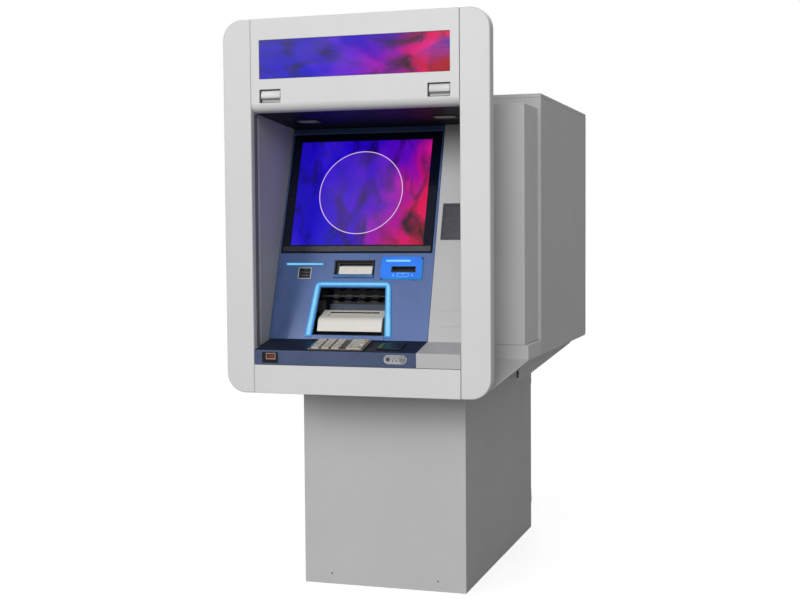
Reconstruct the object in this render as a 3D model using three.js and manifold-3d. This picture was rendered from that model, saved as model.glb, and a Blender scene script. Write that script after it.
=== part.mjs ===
// Through-the-wall cash machine: fascia surround, tilted console, shelf with PIN pad,
// wall collar, upper cabinet and a pedestal safe. Millimetres, +Z up, the front faces -Y.
import * as THREE from 'three';
import Module from 'manifold-3d';
import { mergeVertices } from 'three/addons/utils/BufferGeometryUtils.js';

const wasm = await Module();
wasm.setup();

// ---- driving dimensions (x across, y = depth behind the fascia's front plane, z up) ----
const depthFront = -4.2; // front of the volume button
const depthBack = 1150; // back of the service door's latch
const gap = 0.3; // between touching pieces
const fascia = { halfWidth: 355, low: 552.5, high: 1516.5, depth: 38.6, corner: 52, seam: 278 };
const seamGap = 0.8;
const alcove = { low: 628, high: 1279, halfWidth: 282, wall: 5 };
const headerRound = 22;
const lowerPanelTop = 626.6;
const sign = { halfWidth: 254, low: 1362.6, high: 1461.8, front: 2, back: 85 };
const lens = { inner: 196, outer: 254, low: 1302, high: 1336, depth: 14 };

const consoleTilt = THREE.MathUtils.degToRad(19.08); // leans back from upright
const consoleFoot = { y: 105.4, z: 685.5 };
const consoleSize = { left: -281.6, right: 161.7, rightTop: 157, height: 603.7, thick: 6 };
const display = { x: [-276, 151.5], s: [241.5, 585.7] };
const dispenser = { centre: -58, low: 14, high: 144, halfLow: 101, halfHigh: 91 };
const cardBezel = { x: [18, 129], s: [168, 227.5] };
const receipt = { x: [-116, -4], s: [172, 220], pocket: [180.5, 216] };
const receiptExit = { x: [-102, -14], s: [205, 212] };
const printer = { x: [-112, -8], s: [165, 228], deep: [-170, -14.5] };
const paperRoll = { x: [-110, -10], s: 200, deep: -122, r: 38 };
const cardMouth = { x: [50, 112], s: [191, 199.5] };
const cardReader = { x: [34, 128], s: [176, 218], deep: [-184, -12.5] };
const cardPath = { x: [52, 110], s: [192, 198] };
const displayModule = { x: [-262, 138], s: [250, 577], deep: [-48, -6.8] };
const noteSlot = { x: [-134, 18], s: [96, 112] };
const sideWindow = { x: [171.5, 262], s: [276.5, 378] };

const shelfEdge = 665; // top of the shelf's front edge
const sheet = 4; // thickness of the shelf's skin
const padTilt = THREE.MathUtils.degToRad(14.4);
const pad = { x: [-133, 17.5], t: [0, 78], foot: { y: 11, z: 667.3 } };
const padHeights = { plate: [-7, 2.5], body: [-38, -6] };
const reader = { x: [48, 113], t: [26, 84], top: 2.8 };
const keySize = { width: 20.5, wide: 41, depth: 13.7, low: -5, high: 6 };
const keyColumns = [-114.5, -87.3, -60, -9.5];
const keyRows = [66.4, 48.1, 29.9, 11.6];
const keyNames = [
  ['key_1', 'key_2', 'key_3', 'key_cancel'],
  ['key_4', 'key_5', 'key_6', 'key_clear'],
  ['key_7', 'key_8', 'key_9', 'key_help'],
  ['key_blank_left', 'key_0', 'key_blank_right', 'key_enter'],
];
const audio = { x: [77, 138.3], z: [636.3, 660], jackX: 88.7, jackR: 1.8, buttonX: 126, buttonR: 8.2 };
const scannerHole = { x: [-245, -217], z: [641, 658.3] };

const collar = { halfWidth: 388, front: 238.5, back: 405.7, low: 670, high: 1301, wall: 4 };
const cabinet = { halfWidth: 397.6, front: 406, back: 1108, low: 628, high: 1330.7, wall: 3 };
const lid = { low: 1331.1, high: 1341.5, back: 1129 };
const door = { front: 1111, back: 1129, low: 632, high: 1330.4, skin: 3 };
const doorPin = { x: 391.5, y: 1117, r: 3, lowerTop: 641, upperFoot: 1321, upperTop: 1333, bore: 12 };
const doorCorner = { x: 384, pocket: 380, high: 18 };
const latch = { x: -335, z: 980, r: 8, front: 1114, shaftEnd: 1140 };
const latchGrip = { front: 1133, halfWide: 11, halfHigh: 55 };
const latchTongue = { halfWide: 9, back: 1119, z: [-12, 52] };

const safe = { halfWidth: 230.7, front: 224, seam: 661.5, back: 1059, top: 627.5, wall: 12 };
const safeDoor = { x: [-217.5, 219.5], y: [1031, 1056], z: [16, 594] };
const safePin = { x: 224, y: 1066, r: 3, knuckle: 6 };
// heights about each hinge
const knuckle = { shell: [-30, -12], pin: [-14, 12], door: [-11.5, 12], bore: 13 };
const safeHinges = [110, 500];
const boltHeights = [150, 310, 470];
const boltLine = { tip: -212, root: -176, y: 1018, r: 9 };
const boltChannel = { x: [-228, -214], y: [1005, 1031], z: [100, 520] };
const boltBar = { x: [-192, -180], y: [1010, 1029], z: [110, 510] };
const safeLever = { x: -120, z: 310, shaft: 8.4, hole: 9, hub: 22, cam: 14, reach: 118, half: 10 };
const cassette = { count: 4, pitch: 122, height: 112, first: 40, halfWidth: 150, y: [430, 985] };
const rail = { y: [420, 990], thick: 4, under: 12 };
const recycler = {
  head: { x: [-170, 170], y: [430, 980], z: [660, 880] },
  chute: { x: [-134, 18], y: [206, 440], z: [745, 778] },
  feed: { x: [-100, 100], y: [500, 820], z: [560, 670] },
};
const computer = { x: [250, 385], y: [560, 940], z: [632, 960] };
const power = { x: [-385, -235], y: [640, 940], z: [632, 800] };

// ---- finishes ----
const finish = (color, roughness, metalness = 0) => (
  new THREE.MeshStandardMaterial({ color, roughness, metalness })
);
const fasciaGrey = finish(0xd2d2d2, 0.55);
const linerGrey = finish(0xb4b4b4, 0.6);
const consoleBlue = finish(0x4c648c, 0.35, 0.4);
const displayBlack = finish(0x05060f, 0.08);
const signFace = finish(0x6a1fb0, 0.3);
const gloss = finish(0x14161d, 0.25);
const glowBlue = finish(0x6cc6ff, 0.3);
const trayCream = finish(0xcfc9bf, 0.35);
const keySteel = finish(0xbdb9b0, 0.35, 0.8);
const plateSteel = finish(0x77736f, 0.4, 0.8);
const cabinetGrey = finish(0x8f8f8f, 0.5);
const collarGrey = finish(0xbababa, 0.5);
const pedestalGrey = finish(0x9c9c9c, 0.5);
const moduleSteel = finish(0xa6a8aa, 0.4, 0.9);
const moduleBlack = finish(0x26282c, 0.6);
const handleChrome = finish(0xd0d2d4, 0.15, 1);
const cassetteGrey = finish(0x4a4f58, 0.55);

// ---- shape helpers ----
const extruded = (shape, depth, curveSegments = 6) => (
  new THREE.ExtrudeGeometry(shape, { depth, bevelEnabled: false, curveSegments })
);

// a rectangle with its own radius at each corner: low-low, high-low, high-high, low-high
function outline([u0, u1], [v0, v1], [a, b, c, d] = [0, 0, 0, 0]) {
  const shape = new THREE.Shape();
  shape.moveTo(u0 + a, v0);
  shape.lineTo(u1 - b, v0);
  if (b) shape.absarc(u1 - b, v0 + b, b, -Math.PI / 2, 0);
  shape.lineTo(u1, v1 - c);
  if (c) shape.absarc(u1 - c, v1 - c, c, 0, Math.PI / 2);
  shape.lineTo(u0 + d, v1);
  if (d) shape.absarc(u0 + d, v1 - d, d, Math.PI / 2, Math.PI);
  shape.lineTo(u0, v0 + a);
  if (a) shape.absarc(u0 + a, v0 + a, a, Math.PI, Math.PI * 1.5);
  return shape;
}

const polygon = (points) => new THREE.Shape(points.map(([u, v]) => new THREE.Vector2(u, v)));

// the shape's u, v become x, y and it is extruded along z
const alongZ = (shape, [z0, z1]) => extruded(shape, z1 - z0).translate(0, 0, z0);

// the shape's u, v become y, z and it is extruded along x
function alongX(shape, [x0, x1]) {
  const turn = new THREE.Matrix4().makeBasis(
    new THREE.Vector3(0, 1, 0), new THREE.Vector3(0, 0, 1), new THREE.Vector3(1, 0, 0),
  );
  return extruded(shape, x1 - x0).applyMatrix4(turn).translate(x0, 0, 0);
}

// the shape's u, v become x, z and it is extruded along y
function alongY(shape, [y0, y1]) {
  const turn = new THREE.Matrix4().makeBasis(
    new THREE.Vector3(1, 0, 0), new THREE.Vector3(0, 0, 1), new THREE.Vector3(0, -1, 0),
  );
  return extruded(shape, y1 - y0).applyMatrix4(turn).translate(0, y1, 0);
}

function block([x0, x1], [y0, y1], [z0, z1]) {
  const box = new THREE.BoxGeometry(x1 - x0, y1 - y0, z1 - z0);
  return box.translate((x0 + x1) / 2, (y0 + y1) / 2, (z0 + z1) / 2);
}

function rod(radius, from, to, sides = 24) {
  const start = new THREE.Vector3(...from);
  const path = new THREE.Vector3(...to).sub(start);
  const turn = new THREE.Quaternion().setFromUnitVectors(
    new THREE.Vector3(0, 1, 0), path.clone().normalize(),
  );
  const middle = start.clone().addScaledVector(path, 0.5);
  return new THREE.CylinderGeometry(radius, radius, path.length(), sides)
    .applyQuaternion(turn).translate(middle.x, middle.y, middle.z);
}

const boxOf = ({ x, y, z }) => block(x, y, z);
const both = (half) => [-half, half];
const about = (centre, half) => [centre - half, centre + half];
const raised = (centre, [low, high]) => [centre + low, centre + high];

// a box with flat ends of different width and height, from the front edge to the back edge
function taperedSlab(front, back, thick) {
  const slab = new THREE.BoxGeometry(2, 2, 2);
  const corners = slab.attributes.position;
  for (let i = 0; i < corners.count; i += 1) {
    const end = corners.getY(i) < 0 ? front : back;
    corners.setXYZ(i, corners.getX(i) * end.half, end.y, end.z + (corners.getZ(i) > 0 ? thick : 0));
  }
  return slab;
}

// ---- solids: joining and cutting ----
function toSolid(geometry) {
  const bare = geometry.clone();
  bare.deleteAttribute('normal');
  bare.deleteAttribute('uv');
  const merged = mergeVertices(bare, 1e-4);
  return new wasm.Manifold(new wasm.Mesh({
    numProp: 3,
    vertProperties: new Float32Array(merged.attributes.position.array),
    triVerts: new Uint32Array(merged.index.array),
  }));
}

function toGeometry(solid) {
  const mesh = solid.getMesh();
  const geometry = new THREE.BufferGeometry();
  geometry.setAttribute('position', new THREE.BufferAttribute(mesh.vertProperties, 3));
  geometry.setIndex(new THREE.BufferAttribute(mesh.triVerts, 1));
  geometry.computeVertexNormals();
  return geometry;
}

const cut = (base, ...tools) => (
  toGeometry(tools.reduce((solid, tool) => solid.subtract(toSolid(tool)), toSolid(base)))
);
const join = (base, ...more) => (
  toGeometry(more.reduce((solid, piece) => solid.add(toSolid(piece)), toSolid(base)))
);

// ---- the assembly and its tilted frames ----
const machine = new THREE.Group();
machine.position.y = -(depthFront + depthBack) / 2;

// in the console's frame x runs across, y up the slope and z out of its face
const tilted = new THREE.Group();
tilted.position.set(0, consoleFoot.y, consoleFoot.z);
tilted.rotation.x = Math.PI / 2 - consoleTilt;
machine.add(tilted);

// in the pad's frame x runs across, y up the slope and z out of its face
const padFrame = new THREE.Group();
padFrame.position.set(0, pad.foot.y, pad.foot.z);
padFrame.rotation.x = padTilt;
machine.add(padFrame);

function add(name, geometry, material, parent = machine) {
  const mesh = new THREE.Mesh(geometry, material);
  mesh.name = name;
  parent.add(mesh);
  return mesh;
}

function placed(geometry, frame) {
  frame.updateMatrix();
  return geometry.clone().applyMatrix4(frame.matrix);
}

// ---- fascia surround ----
function addFascia() {
  const { halfWidth, low, high, depth, corner, seam } = fascia;
  const thick = [0, depth];
  const inner = seam - seamGap;
  const rightStile = outline([seam, halfWidth], [low, high], [0, corner, corner, 0]);
  const leftStile = outline([-halfWidth, -seam], [low, high], [corner, 0, 0, corner]);
  add('left_stile', alongY(leftStile, thick), fasciaGrey);
  add('right_stile', alongY(rightStile, thick), fasciaGrey);

  const headerProfile = outline(thick, [alcove.high, high], [headerRound, 0, 0, 0]);
  const lensPocket = (x) => block(x, [-1, lens.depth], [lens.low, lens.high]);
  add('header_panel', cut(
    alongX(headerProfile, both(inner)),
    block(both(sign.halfWidth), [-1, depth + 1], [sign.low, sign.high]),
    lensPocket([-lens.outer, -lens.inner]),
    lensPocket([lens.inner, lens.outer]),
  ), fasciaGrey);
  add('lower_panel', block(both(inner), thick, [low, lowerPanelTop]), fasciaGrey);

  const clear = 0.6;
  add('sign_box', block(
    both(sign.halfWidth - clear), [sign.front, sign.back], [sign.low + clear, sign.high - clear],
  ), signFace);
}

// ---- alcove liner: two walls and a ceiling that falls towards the back ----
function addAlcove() {
  const front = fascia.depth + gap;
  const back = 330;
  const ledgeFront = 236;
  const wallLow = 640;
  const ceilingFall = 24;
  const outer = alcove.halfWidth + alcove.wall;
  const ceiling = polygon([
    [front, alcove.high], [back, alcove.high - ceilingFall],
    [back, alcove.high - ceilingFall + 6], [front, alcove.high + 6],
  ]);
  const wall = polygon([
    [front, wallLow], [ledgeFront, wallLow], [ledgeFront, collar.low + gap],
    [back, collar.low + gap], [back, alcove.high - ceilingFall + 3], [front, alcove.high + 3],
  ]);
  add('alcove_liner', join(
    alongX(ceiling, both(outer)),
    alongX(wall, [-outer, -alcove.halfWidth]),
    alongX(wall, [alcove.halfWidth, outer]),
  ), linerGrey);
}

// ---- console: the tilted blue panel and what is set into it ----
function dispenserOutline(clear, low = dispenser.low - clear) {
  const { centre, high, halfLow, halfHigh } = dispenser;
  return polygon([
    [centre - halfLow - clear, low], [centre + halfLow + clear, low],
    [centre + halfHigh + clear, high + clear], [centre - halfHigh - clear, high + clear],
  ]);
}

function around({ x, s }, clear) {
  return [[x[0] - clear, x[1] + clear], [s[0] - clear, s[1] + clear]];
}

function addConsole() {
  const { left, right, rightTop, height, thick } = consoleSize;
  const through = [-thick - 1, 1];
  const panel = polygon([[left, gap], [right, gap], [rightTop, height], [left, height]]);
  add('console_panel', cut(
    alongZ(panel, [-thick, 0]),
    block(...around(display, 0.4), through),
    block(...around(receipt, 0.4), through),
    block(...around(cardBezel, 0.4), through),
    alongZ(dispenserOutline(0), through),
  ), consoleBlue, tilted);

  add('display_glass', alongZ(outline(display.x, display.s, [3, 3, 3, 3]), [-5.5, 0.8]),
    displayBlack, tilted);
  add('display_module', block(displayModule.x, displayModule.s, displayModule.deep),
    moduleSteel, tilted);

  add('receipt_bezel', cut(
    block(receipt.x, receipt.s, [-14, 2.5]),
    block([receipt.x[0] + 4, receipt.x[1] - 4], receipt.pocket, [-6, 3]),
    block(receiptExit.x, receiptExit.s, [-15, -5]),
  ), gloss, tilted);
  const { x, s, deep, r } = paperRoll;
  add('receipt_printer', join(
    block(printer.x, printer.s, printer.deep),
    rod(r, [x[0], s, deep], [x[1], s, deep], 20),
  ), moduleBlack, tilted);

  const bezelShape = outline(cardBezel.x, cardBezel.s, [8, 8, 8, 8]);
  add('card_bezel', cut(
    alongZ(bezelShape, [-12, 9]), block(cardMouth.x, cardMouth.s, [-13, 10]),
  ), glowBlue, tilted);
  add('card_reader', cut(
    block(cardReader.x, cardReader.s, cardReader.deep),
    block(cardPath.x, cardPath.s, [-100, -12]),
  ), moduleBlack, tilted);
}

// ---- cash dispenser ----
function addDispenser() {
  const { centre, low, high, halfLow } = dispenser;
  const wide = (half) => about(centre, half);
  const legs = { foot: 8, outerLow: 121, innerLow: 102, outerHigh: 108, innerHigh: 92 };
  const barTop = 160;
  const round = 20;
  const glow = new THREE.Shape();
  glow.moveTo(centre - legs.outerLow, legs.foot);
  glow.lineTo(centre - legs.innerLow, legs.foot);
  glow.lineTo(centre - legs.innerHigh, high + 2);
  glow.lineTo(centre + legs.innerHigh, high + 2);
  glow.lineTo(centre + legs.innerLow, legs.foot);
  glow.lineTo(centre + legs.outerLow, legs.foot);
  glow.lineTo(centre + legs.outerHigh, barTop - round);
  glow.quadraticCurveTo(centre + legs.outerHigh, barTop, centre + legs.outerHigh - round, barTop);
  glow.lineTo(centre - legs.outerHigh + round, barTop);
  glow.quadraticCurveTo(centre - legs.outerHigh, barTop, centre - legs.outerHigh, barTop - round);
  add('dispenser_light', alongZ(glow, [gap, 4]), glowBlue, tilted);

  // an open box behind the panel, with the note slot through its back
  const wall = 3;
  const throatBack = -58;
  add('dispenser_throat', cut(
    block(wide(halfLow + wall), [low - wall, high + wall + 3], [throatBack, -6.4]),
    block(wide(halfLow), [low, high + 3], [throatBack + wall, 0]),
    block(noteSlot.x, noteSlot.s, [throatBack - 1, 0]),
  ), gloss, tilted);

  // the tray's section: u up the slope, v out of the console's face
  const lip = { foot: 24, brow: 50, nose: 64, back: 94, face: -3, floor: -47.5 };
  const section = new THREE.Shape();
  section.moveTo(lip.foot, -12);
  section.lineTo(lip.foot, lip.face);
  section.lineTo(lip.brow, lip.face);
  section.quadraticCurveTo(59, lip.face, lip.nose, -9);
  section.lineTo(lip.back, -45);
  section.lineTo(lip.back, lip.floor);
  section.lineTo(low + gap, lip.floor);
  section.lineTo(low + gap, -20);
  const hollow = { size: [140, 30, 12], place: [centre, 79, -25], lean: Math.atan2(-36, 30) };
  const grip = new THREE.BoxGeometry(...hollow.size).rotateX(hollow.lean).translate(...hollow.place);
  add('cash_tray', cut(alongX(section, wide(90)), grip), trayCream, tilted);
  add('dispenser_shutter', block(wide(79), [94.5, 113], [-53.5, -50.5]), gloss, tilted);
}

// ---- the grey side panel is one moulding with its own shelf ----
function shelfSection(rear) {
  const rise = (consoleFoot.z - shelfEdge) / consoleFoot.y;
  return polygon([
    [0, alcove.low], [sheet, alcove.low], [sheet, shelfEdge - sheet],
    [rear, shelfEdge - sheet + rise * rear], [rear, shelfEdge + rise * rear], [0, shelfEdge],
  ]);
}

function addSidePanel() {
  const { right, rightTop, height, thick } = consoleSize;
  const clear = 0.6;
  const front = polygon([
    [right + clear, -2], [alcove.halfWidth - 0.4, -2],
    [alcove.halfWidth - 0.4, height], [rightTop + clear, height],
  ]);
  const panel = placed(cut(
    alongZ(front, [-thick, 0]),
    block(...around(sideWindow, 0.4), [-thick - 1, 1]),
  ), tilted);
  const shelf = alongX(shelfSection(consoleFoot.y + 2), [right + clear, fascia.seam - 0.4]);
  add('side_panel', join(panel, shelf), linerGrey);
  add('side_window', block(sideWindow.x, sideWindow.s, [-5, -1]), gloss, tilted);
}

// ---- shelf with PIN pad, contactless reader, scanner opening and audio plate ----
function addShelf() {
  const padHole = placed(block(
    [pad.x[0] - 0.5, pad.x[1] + 0.5], [pad.t[0] - 0.5, pad.t[1] + 0.5], [-60, 20],
  ), padFrame);
  const skin = alongX(shelfSection(consoleFoot.y - gap), [-(fascia.seam - 0.4), consoleSize.right]);
  const audioZ = (audio.z[0] + audio.z[1]) / 2;
  add('shelf', cut(
    skin,
    padHole,
    block(scannerHole.x, [-1, sheet + 1], scannerHole.z),
    rod(audio.buttonR + 0.6, [audio.buttonX, -1, audioZ], [audio.buttonX, sheet + 1, audioZ]),
    rod(audio.jackR, [audio.jackX, -1, audioZ], [audio.jackX, sheet + 1, audioZ], 12),
  ), consoleBlue);

  const shelfTilt = Math.atan2(consoleFoot.z - shelfEdge, consoleFoot.y);
  const readerFrame = new THREE.Group();
  readerFrame.position.set(0, 0, shelfEdge);
  readerFrame.rotation.x = shelfTilt;
  machine.add(readerFrame);
  add('contactless_reader', block(reader.x, reader.t, [gap, reader.top]), gloss, readerFrame);

  const round = (audio.z[1] - audio.z[0]) / 2;
  add('audio_plate', cut(
    alongY(outline(audio.x, audio.z, [round, round, round, round]), [-2.2, -gap]),
    rod(audio.buttonR + 0.6, [audio.buttonX, -3, audioZ], [audio.buttonX, 1, audioZ]),
    rod(audio.jackR, [audio.jackX, -3, audioZ], [audio.jackX, 1, audioZ], 12),
  ), plateSteel);
  add('volume_button',
    rod(audio.buttonR, [audio.buttonX, depthFront, audioZ], [audio.buttonX, 5, audioZ]), keySteel);
}

function keyWidth(column) {
  return column === keyColumns.length - 1 ? keySize.wide : keySize.width;
}

function addPinPad() {
  const keySpace = (row, column, clear, heights) => {
    const half = keyWidth(column) / 2 + clear;
    const deep = keySize.depth / 2 + clear;
    return block(about(keyColumns[column], half), about(keyRows[row], deep), heights);
  };
  const wells = [];
  keyNames.forEach((names, row) => names.forEach((name, column) => {
    wells.push(keySpace(row, column, 0.5, [-9, 4]));
    add(name, keySpace(row, column, 0, [keySize.low, keySize.high]), keySteel, padFrame);
  }));
  const housing = join(
    block(pad.x, pad.t, padHeights.plate),
    block([pad.x[0] + 6, pad.x[1] - 6], [pad.t[0] + 5, pad.t[1] - 5], padHeights.body),
  );
  add('pin_pad', cut(housing, ...wells), plateSteel, padFrame);
}

// ---- wall collar, ledge and the pan that slopes down to the fascia ----
function addCollar() {
  const { halfWidth, front, back, low, high, wall } = collar;
  const linerOuter = alcove.halfWidth + alcove.wall + 0.6;
  add('wall_collar', cut(
    block(both(halfWidth), [front, back], [low, high]),
    block(both(halfWidth - wall), [front + wall, back + 1], [low - 1, high - wall]),
    block(both(linerOuter), [front - 1, back], [low - 1, 1290]),
  ), collarGrey);

  const ledgeTop = low - 0.4;
  add('ledge', cut(
    block(both(cabinet.halfWidth), [front, back], [cabinet.low, ledgeTop]),
    block(both(cabinet.halfWidth - wall), [front + wall, back + 1],
      [cabinet.low - 1, ledgeTop - wall]),
    block(both(halfWidth - 5), [front + wall, back + 1], [cabinet.low - 1, ledgeTop + 1]),
  ), collarGrey);

  const panFront = { half: 331, y: fascia.depth + gap, z: 561 };
  const panBack = { half: cabinet.halfWidth, y: front - gap, z: cabinet.low };
  add('sloped_pan', taperedSlab(panFront, panBack, 4), collarGrey);
}

// ---- upper cabinet ----
function addCabinet() {
  const { halfWidth, front, back, low, high, wall } = cabinet;
  const flange = 14;
  const pin = (z0, z1) => rod(doorPin.r, [doorPin.x, doorPin.y, z0], [doorPin.x, doorPin.y, z1]);
  const tab = block([doorCorner.x, halfWidth], [back - 4, 1122], [low, low + wall]);
  const shell = cut(
    block(both(halfWidth), [front, back], [low, high]),
    block(both(halfWidth - wall), [front + wall, back + 1], [low + wall, high + 1]),
    block(both(halfWidth - flange), [front - 1, front + wall + 1], [low + wall, 1285]),
    block([-175, 175], [450, 900], [low - 1, low + wall + 1]),
  );
  add('cabinet_shell', join(shell, tab, pin(low, doorPin.lowerTop)), cabinetGrey);

  const lidShell = cut(
    block(both(halfWidth), [front, lid.back], [lid.low, lid.high]),
    block(both(halfWidth - wall), [front + wall, lid.back - wall], [lid.low - 1, lid.high - wall]),
  );
  const boss = block([doorCorner.x, halfWidth - 1], [1110, 1124], [lid.low, lid.high - 1]);
  add('cabinet_lid', join(lidShell, boss, pin(doorPin.upperFoot, doorPin.upperTop)), cabinetGrey);

  // the skirt's side falls to its lowest at the front
  const skirt = { half: 355, front: 327, flat: 476, back: 1090, low: 570, backLow: 604 };
  const skirtSide = polygon([
    [skirt.front, skirt.low], [skirt.flat, skirt.low], [skirt.back, skirt.backLow],
    [skirt.back, low - gap], [skirt.front, low - gap],
  ]);
  add('underside_skirt', cut(
    alongX(skirtSide, both(skirt.half)),
    block(both(skirt.half - wall), [skirt.front + wall, 1064], [608, low + 1]),
    block(both(safe.halfWidth + 0.6), [skirt.front - 1, safe.back + 4], [skirt.low - 1, low + 1]),
  ), cabinetGrey);
}

function addServiceDoor() {
  const { front, back, low, high, skin } = door;
  const half = cabinet.halfWidth;
  const bore = (z0, z1) => rod(doorPin.r + 0.5, [doorPin.x, doorPin.y, z0], [doorPin.x, doorPin.y, z1]);
  const tray = cut(
    block(both(half), [front, back], [low, high]),
    block(both(half - skin), [front - 1, back - skin], [low + skin, high - skin]),
  );
  const hingeBlock = (z0, z1) => block([doorCorner.pocket, half], [front, back], [z0, z1]);
  add('service_door', cut(
    join(tray, hingeBlock(low, low + doorCorner.high), hingeBlock(high - doorCorner.high, high)),
    bore(low - 1, low + doorPin.bore),
    bore(high - doorPin.bore, high + 1),
    rod(latch.r + 0.6, [latch.x, front, latch.z], [latch.x, back + 1, latch.z]),
  ), cabinetGrey);

  add('service_latch', join(
    rod(latch.r, [latch.x, latch.front, latch.z], [latch.x, latch.shaftEnd, latch.z]),
    block(about(latch.x, latchGrip.halfWide), [latchGrip.front, depthBack],
      about(latch.z, latchGrip.halfHigh)),
    block(about(latch.x, latchTongue.halfWide), [latch.front, latchTongue.back],
      raised(latch.z, latchTongue.z)),
  ), handleChrome);
}

// ---- pedestal: front cover, safe, its door and bolt work ----
const upright = (radius, [z0, z1]) => (
  rod(radius, [safePin.x, safePin.y, z0], [safePin.x, safePin.y, z1])
);

function addPedestal() {
  const { halfWidth, front, seam, back, top, wall } = safe;
  const coverSheet = 2.5;
  const coverTop = 618;
  const shellFront = front + coverSheet + gap;
  const underLedge = 242; // only the part behind this line rises to the cabinet's floor
  add('pedestal_cover', cut(
    block(both(halfWidth), [front, seam], [0, coverTop]),
    block(both(halfWidth - coverSheet), [front + coverSheet, seam + 1], [-1, coverTop + 1]),
  ), pedestalGrey);

  const body = join(
    block(both(halfWidth - 3), [shellFront, back], [0, coverTop]),
    block(both(halfWidth - 3), [underLedge, back], [0, top]),
    block(both(halfWidth), [seam + 0.8, back], [0, coverTop]),
  );
  const inside = halfWidth - wall - 3.2;
  const hollow = cut(
    body,
    block(both(inside), [underLedge + wall, safeDoor.y[0] - 1.5], [wall, top - wall]),
    block(both(221), [safeDoor.y[0] - 2, back + 1], [safeDoor.z[0] - 2, safeDoor.z[1] + 2]),
    block(both(110), [480, 840], [top - wall - 1, top + 1]),
    boxOf(boltChannel),
  );
  const hingeParts = safeHinges.flatMap((at) => [
    block([safePin.x, halfWidth], [back - 2, safePin.y], raised(at, knuckle.shell)),
    upright(safePin.knuckle, raised(at, knuckle.shell)),
    upright(safePin.r, raised(at, knuckle.pin)),
  ]);
  const rails = [];
  for (let level = 0; level < cassette.count; level += 1) {
    const z = cassette.first + level * cassette.pitch - gap;
    const innerEdge = cassette.halfWidth - rail.under;
    rails.push(block([-inside - 1, -innerEdge], rail.y, [z - rail.thick, z]));
    rails.push(block([innerEdge, inside + 1], rail.y, [z - rail.thick, z]));
  }
  add('safe_shell', join(hollow, ...hingeParts, ...rails), pedestalGrey);
}

function addSafeDoor() {
  const { x, y, z } = safeDoor;
  const leafStart = 200; // where the hinge leaves begin on the door's back
  const knuckles = safeHinges.flatMap((at) => [
    upright(safePin.knuckle, raised(at, knuckle.door)),
    block([leafStart, safePin.x - 1], [1060.5, safePin.y], raised(at, knuckle.door)),
    block([leafStart, 217], [1055, safePin.y], raised(at, knuckle.door)),
  ]);
  const bores = safeHinges.map((at) => (
    upright(safePin.r + 0.5, about(at, knuckle.bore))
  ));
  const alongShaft = (radius, [y0, y1]) => (
    rod(radius, [safeLever.x, y0, safeLever.z], [safeLever.x, y1, safeLever.z])
  );
  const shaftHole = alongShaft(safeLever.hole, [y[0] - 1, y[1] + 1]);
  add('safe_door', cut(join(block(x, y, z), ...knuckles), ...bores, shaftHole), pedestalGrey);

  const grip = [safeLever.x - safeLever.half, safeLever.x + safeLever.reach];
  add('safe_handle', join(
    alongShaft(safeLever.shaft, [1022, 1062]),
    alongShaft(safeLever.hub, [1056.6, 1074]),
    block(grip, [1070, 1088], about(safeLever.z, safeLever.half)),
    alongShaft(safeLever.cam, [1020, 1028]),
  ), handleChrome);

  const bolts = boltHeights.map((at) => (
    rod(boltLine.r, [boltLine.tip, boltLine.y, at], [boltLine.root, boltLine.y, at], 20)
  ));
  add('safe_bolts', join(boxOf(boltBar), ...bolts), moduleSteel);
}

// ---- modules inside ----
function addModules() {
  add('recycler_head', join(
    boxOf(recycler.head), boxOf(recycler.chute), boxOf(recycler.feed),
  ), moduleBlack);
  add('computer', boxOf(computer), moduleBlack);
  add('power_supply', boxOf(power), moduleBlack);
  for (let level = 0; level < cassette.count; level += 1) {
    const z = cassette.first + level * cassette.pitch;
    const shape = block(both(cassette.halfWidth), cassette.y, [z, z + cassette.height]);
    add(`note_cassette_${level + 1}`, shape, cassetteGrey);
  }
}

addFascia();
addAlcove();
addConsole();
addDispenser();
addSidePanel();
addShelf();
addPinPad();
addCollar();
addCabinet();
addServiceDoor();
addPedestal();
addSafeDoor();
addModules();

export default machine;
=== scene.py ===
import math

import bmesh
import bpy
from mathutils import Matrix, Vector


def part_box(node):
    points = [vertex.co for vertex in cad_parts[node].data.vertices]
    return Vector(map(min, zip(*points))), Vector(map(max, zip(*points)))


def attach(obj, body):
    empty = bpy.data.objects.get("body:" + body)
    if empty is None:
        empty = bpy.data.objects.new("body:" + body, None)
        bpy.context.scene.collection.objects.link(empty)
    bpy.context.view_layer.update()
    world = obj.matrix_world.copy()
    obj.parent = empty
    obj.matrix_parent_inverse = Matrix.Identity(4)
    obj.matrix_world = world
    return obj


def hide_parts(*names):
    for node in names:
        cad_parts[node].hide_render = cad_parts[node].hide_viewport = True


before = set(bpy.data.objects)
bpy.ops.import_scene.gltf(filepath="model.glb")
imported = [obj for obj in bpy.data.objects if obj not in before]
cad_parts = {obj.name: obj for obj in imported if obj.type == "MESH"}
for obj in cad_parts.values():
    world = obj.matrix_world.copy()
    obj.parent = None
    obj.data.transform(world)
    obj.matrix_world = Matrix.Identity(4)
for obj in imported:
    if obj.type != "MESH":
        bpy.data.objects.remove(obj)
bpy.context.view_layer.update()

mm = 0.001
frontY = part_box("header_panel")[0].y  # the front plane of the surround


# frames to model in: millimetres, with x across, y up the slope and z out of the face
def tilted(y, z, angle):
    foot = Matrix.Translation((0, frontY + y * mm, z * mm))
    return foot @ Matrix.Rotation(angle, 4, "X") @ Matrix.Scale(mm, 4)


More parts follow.
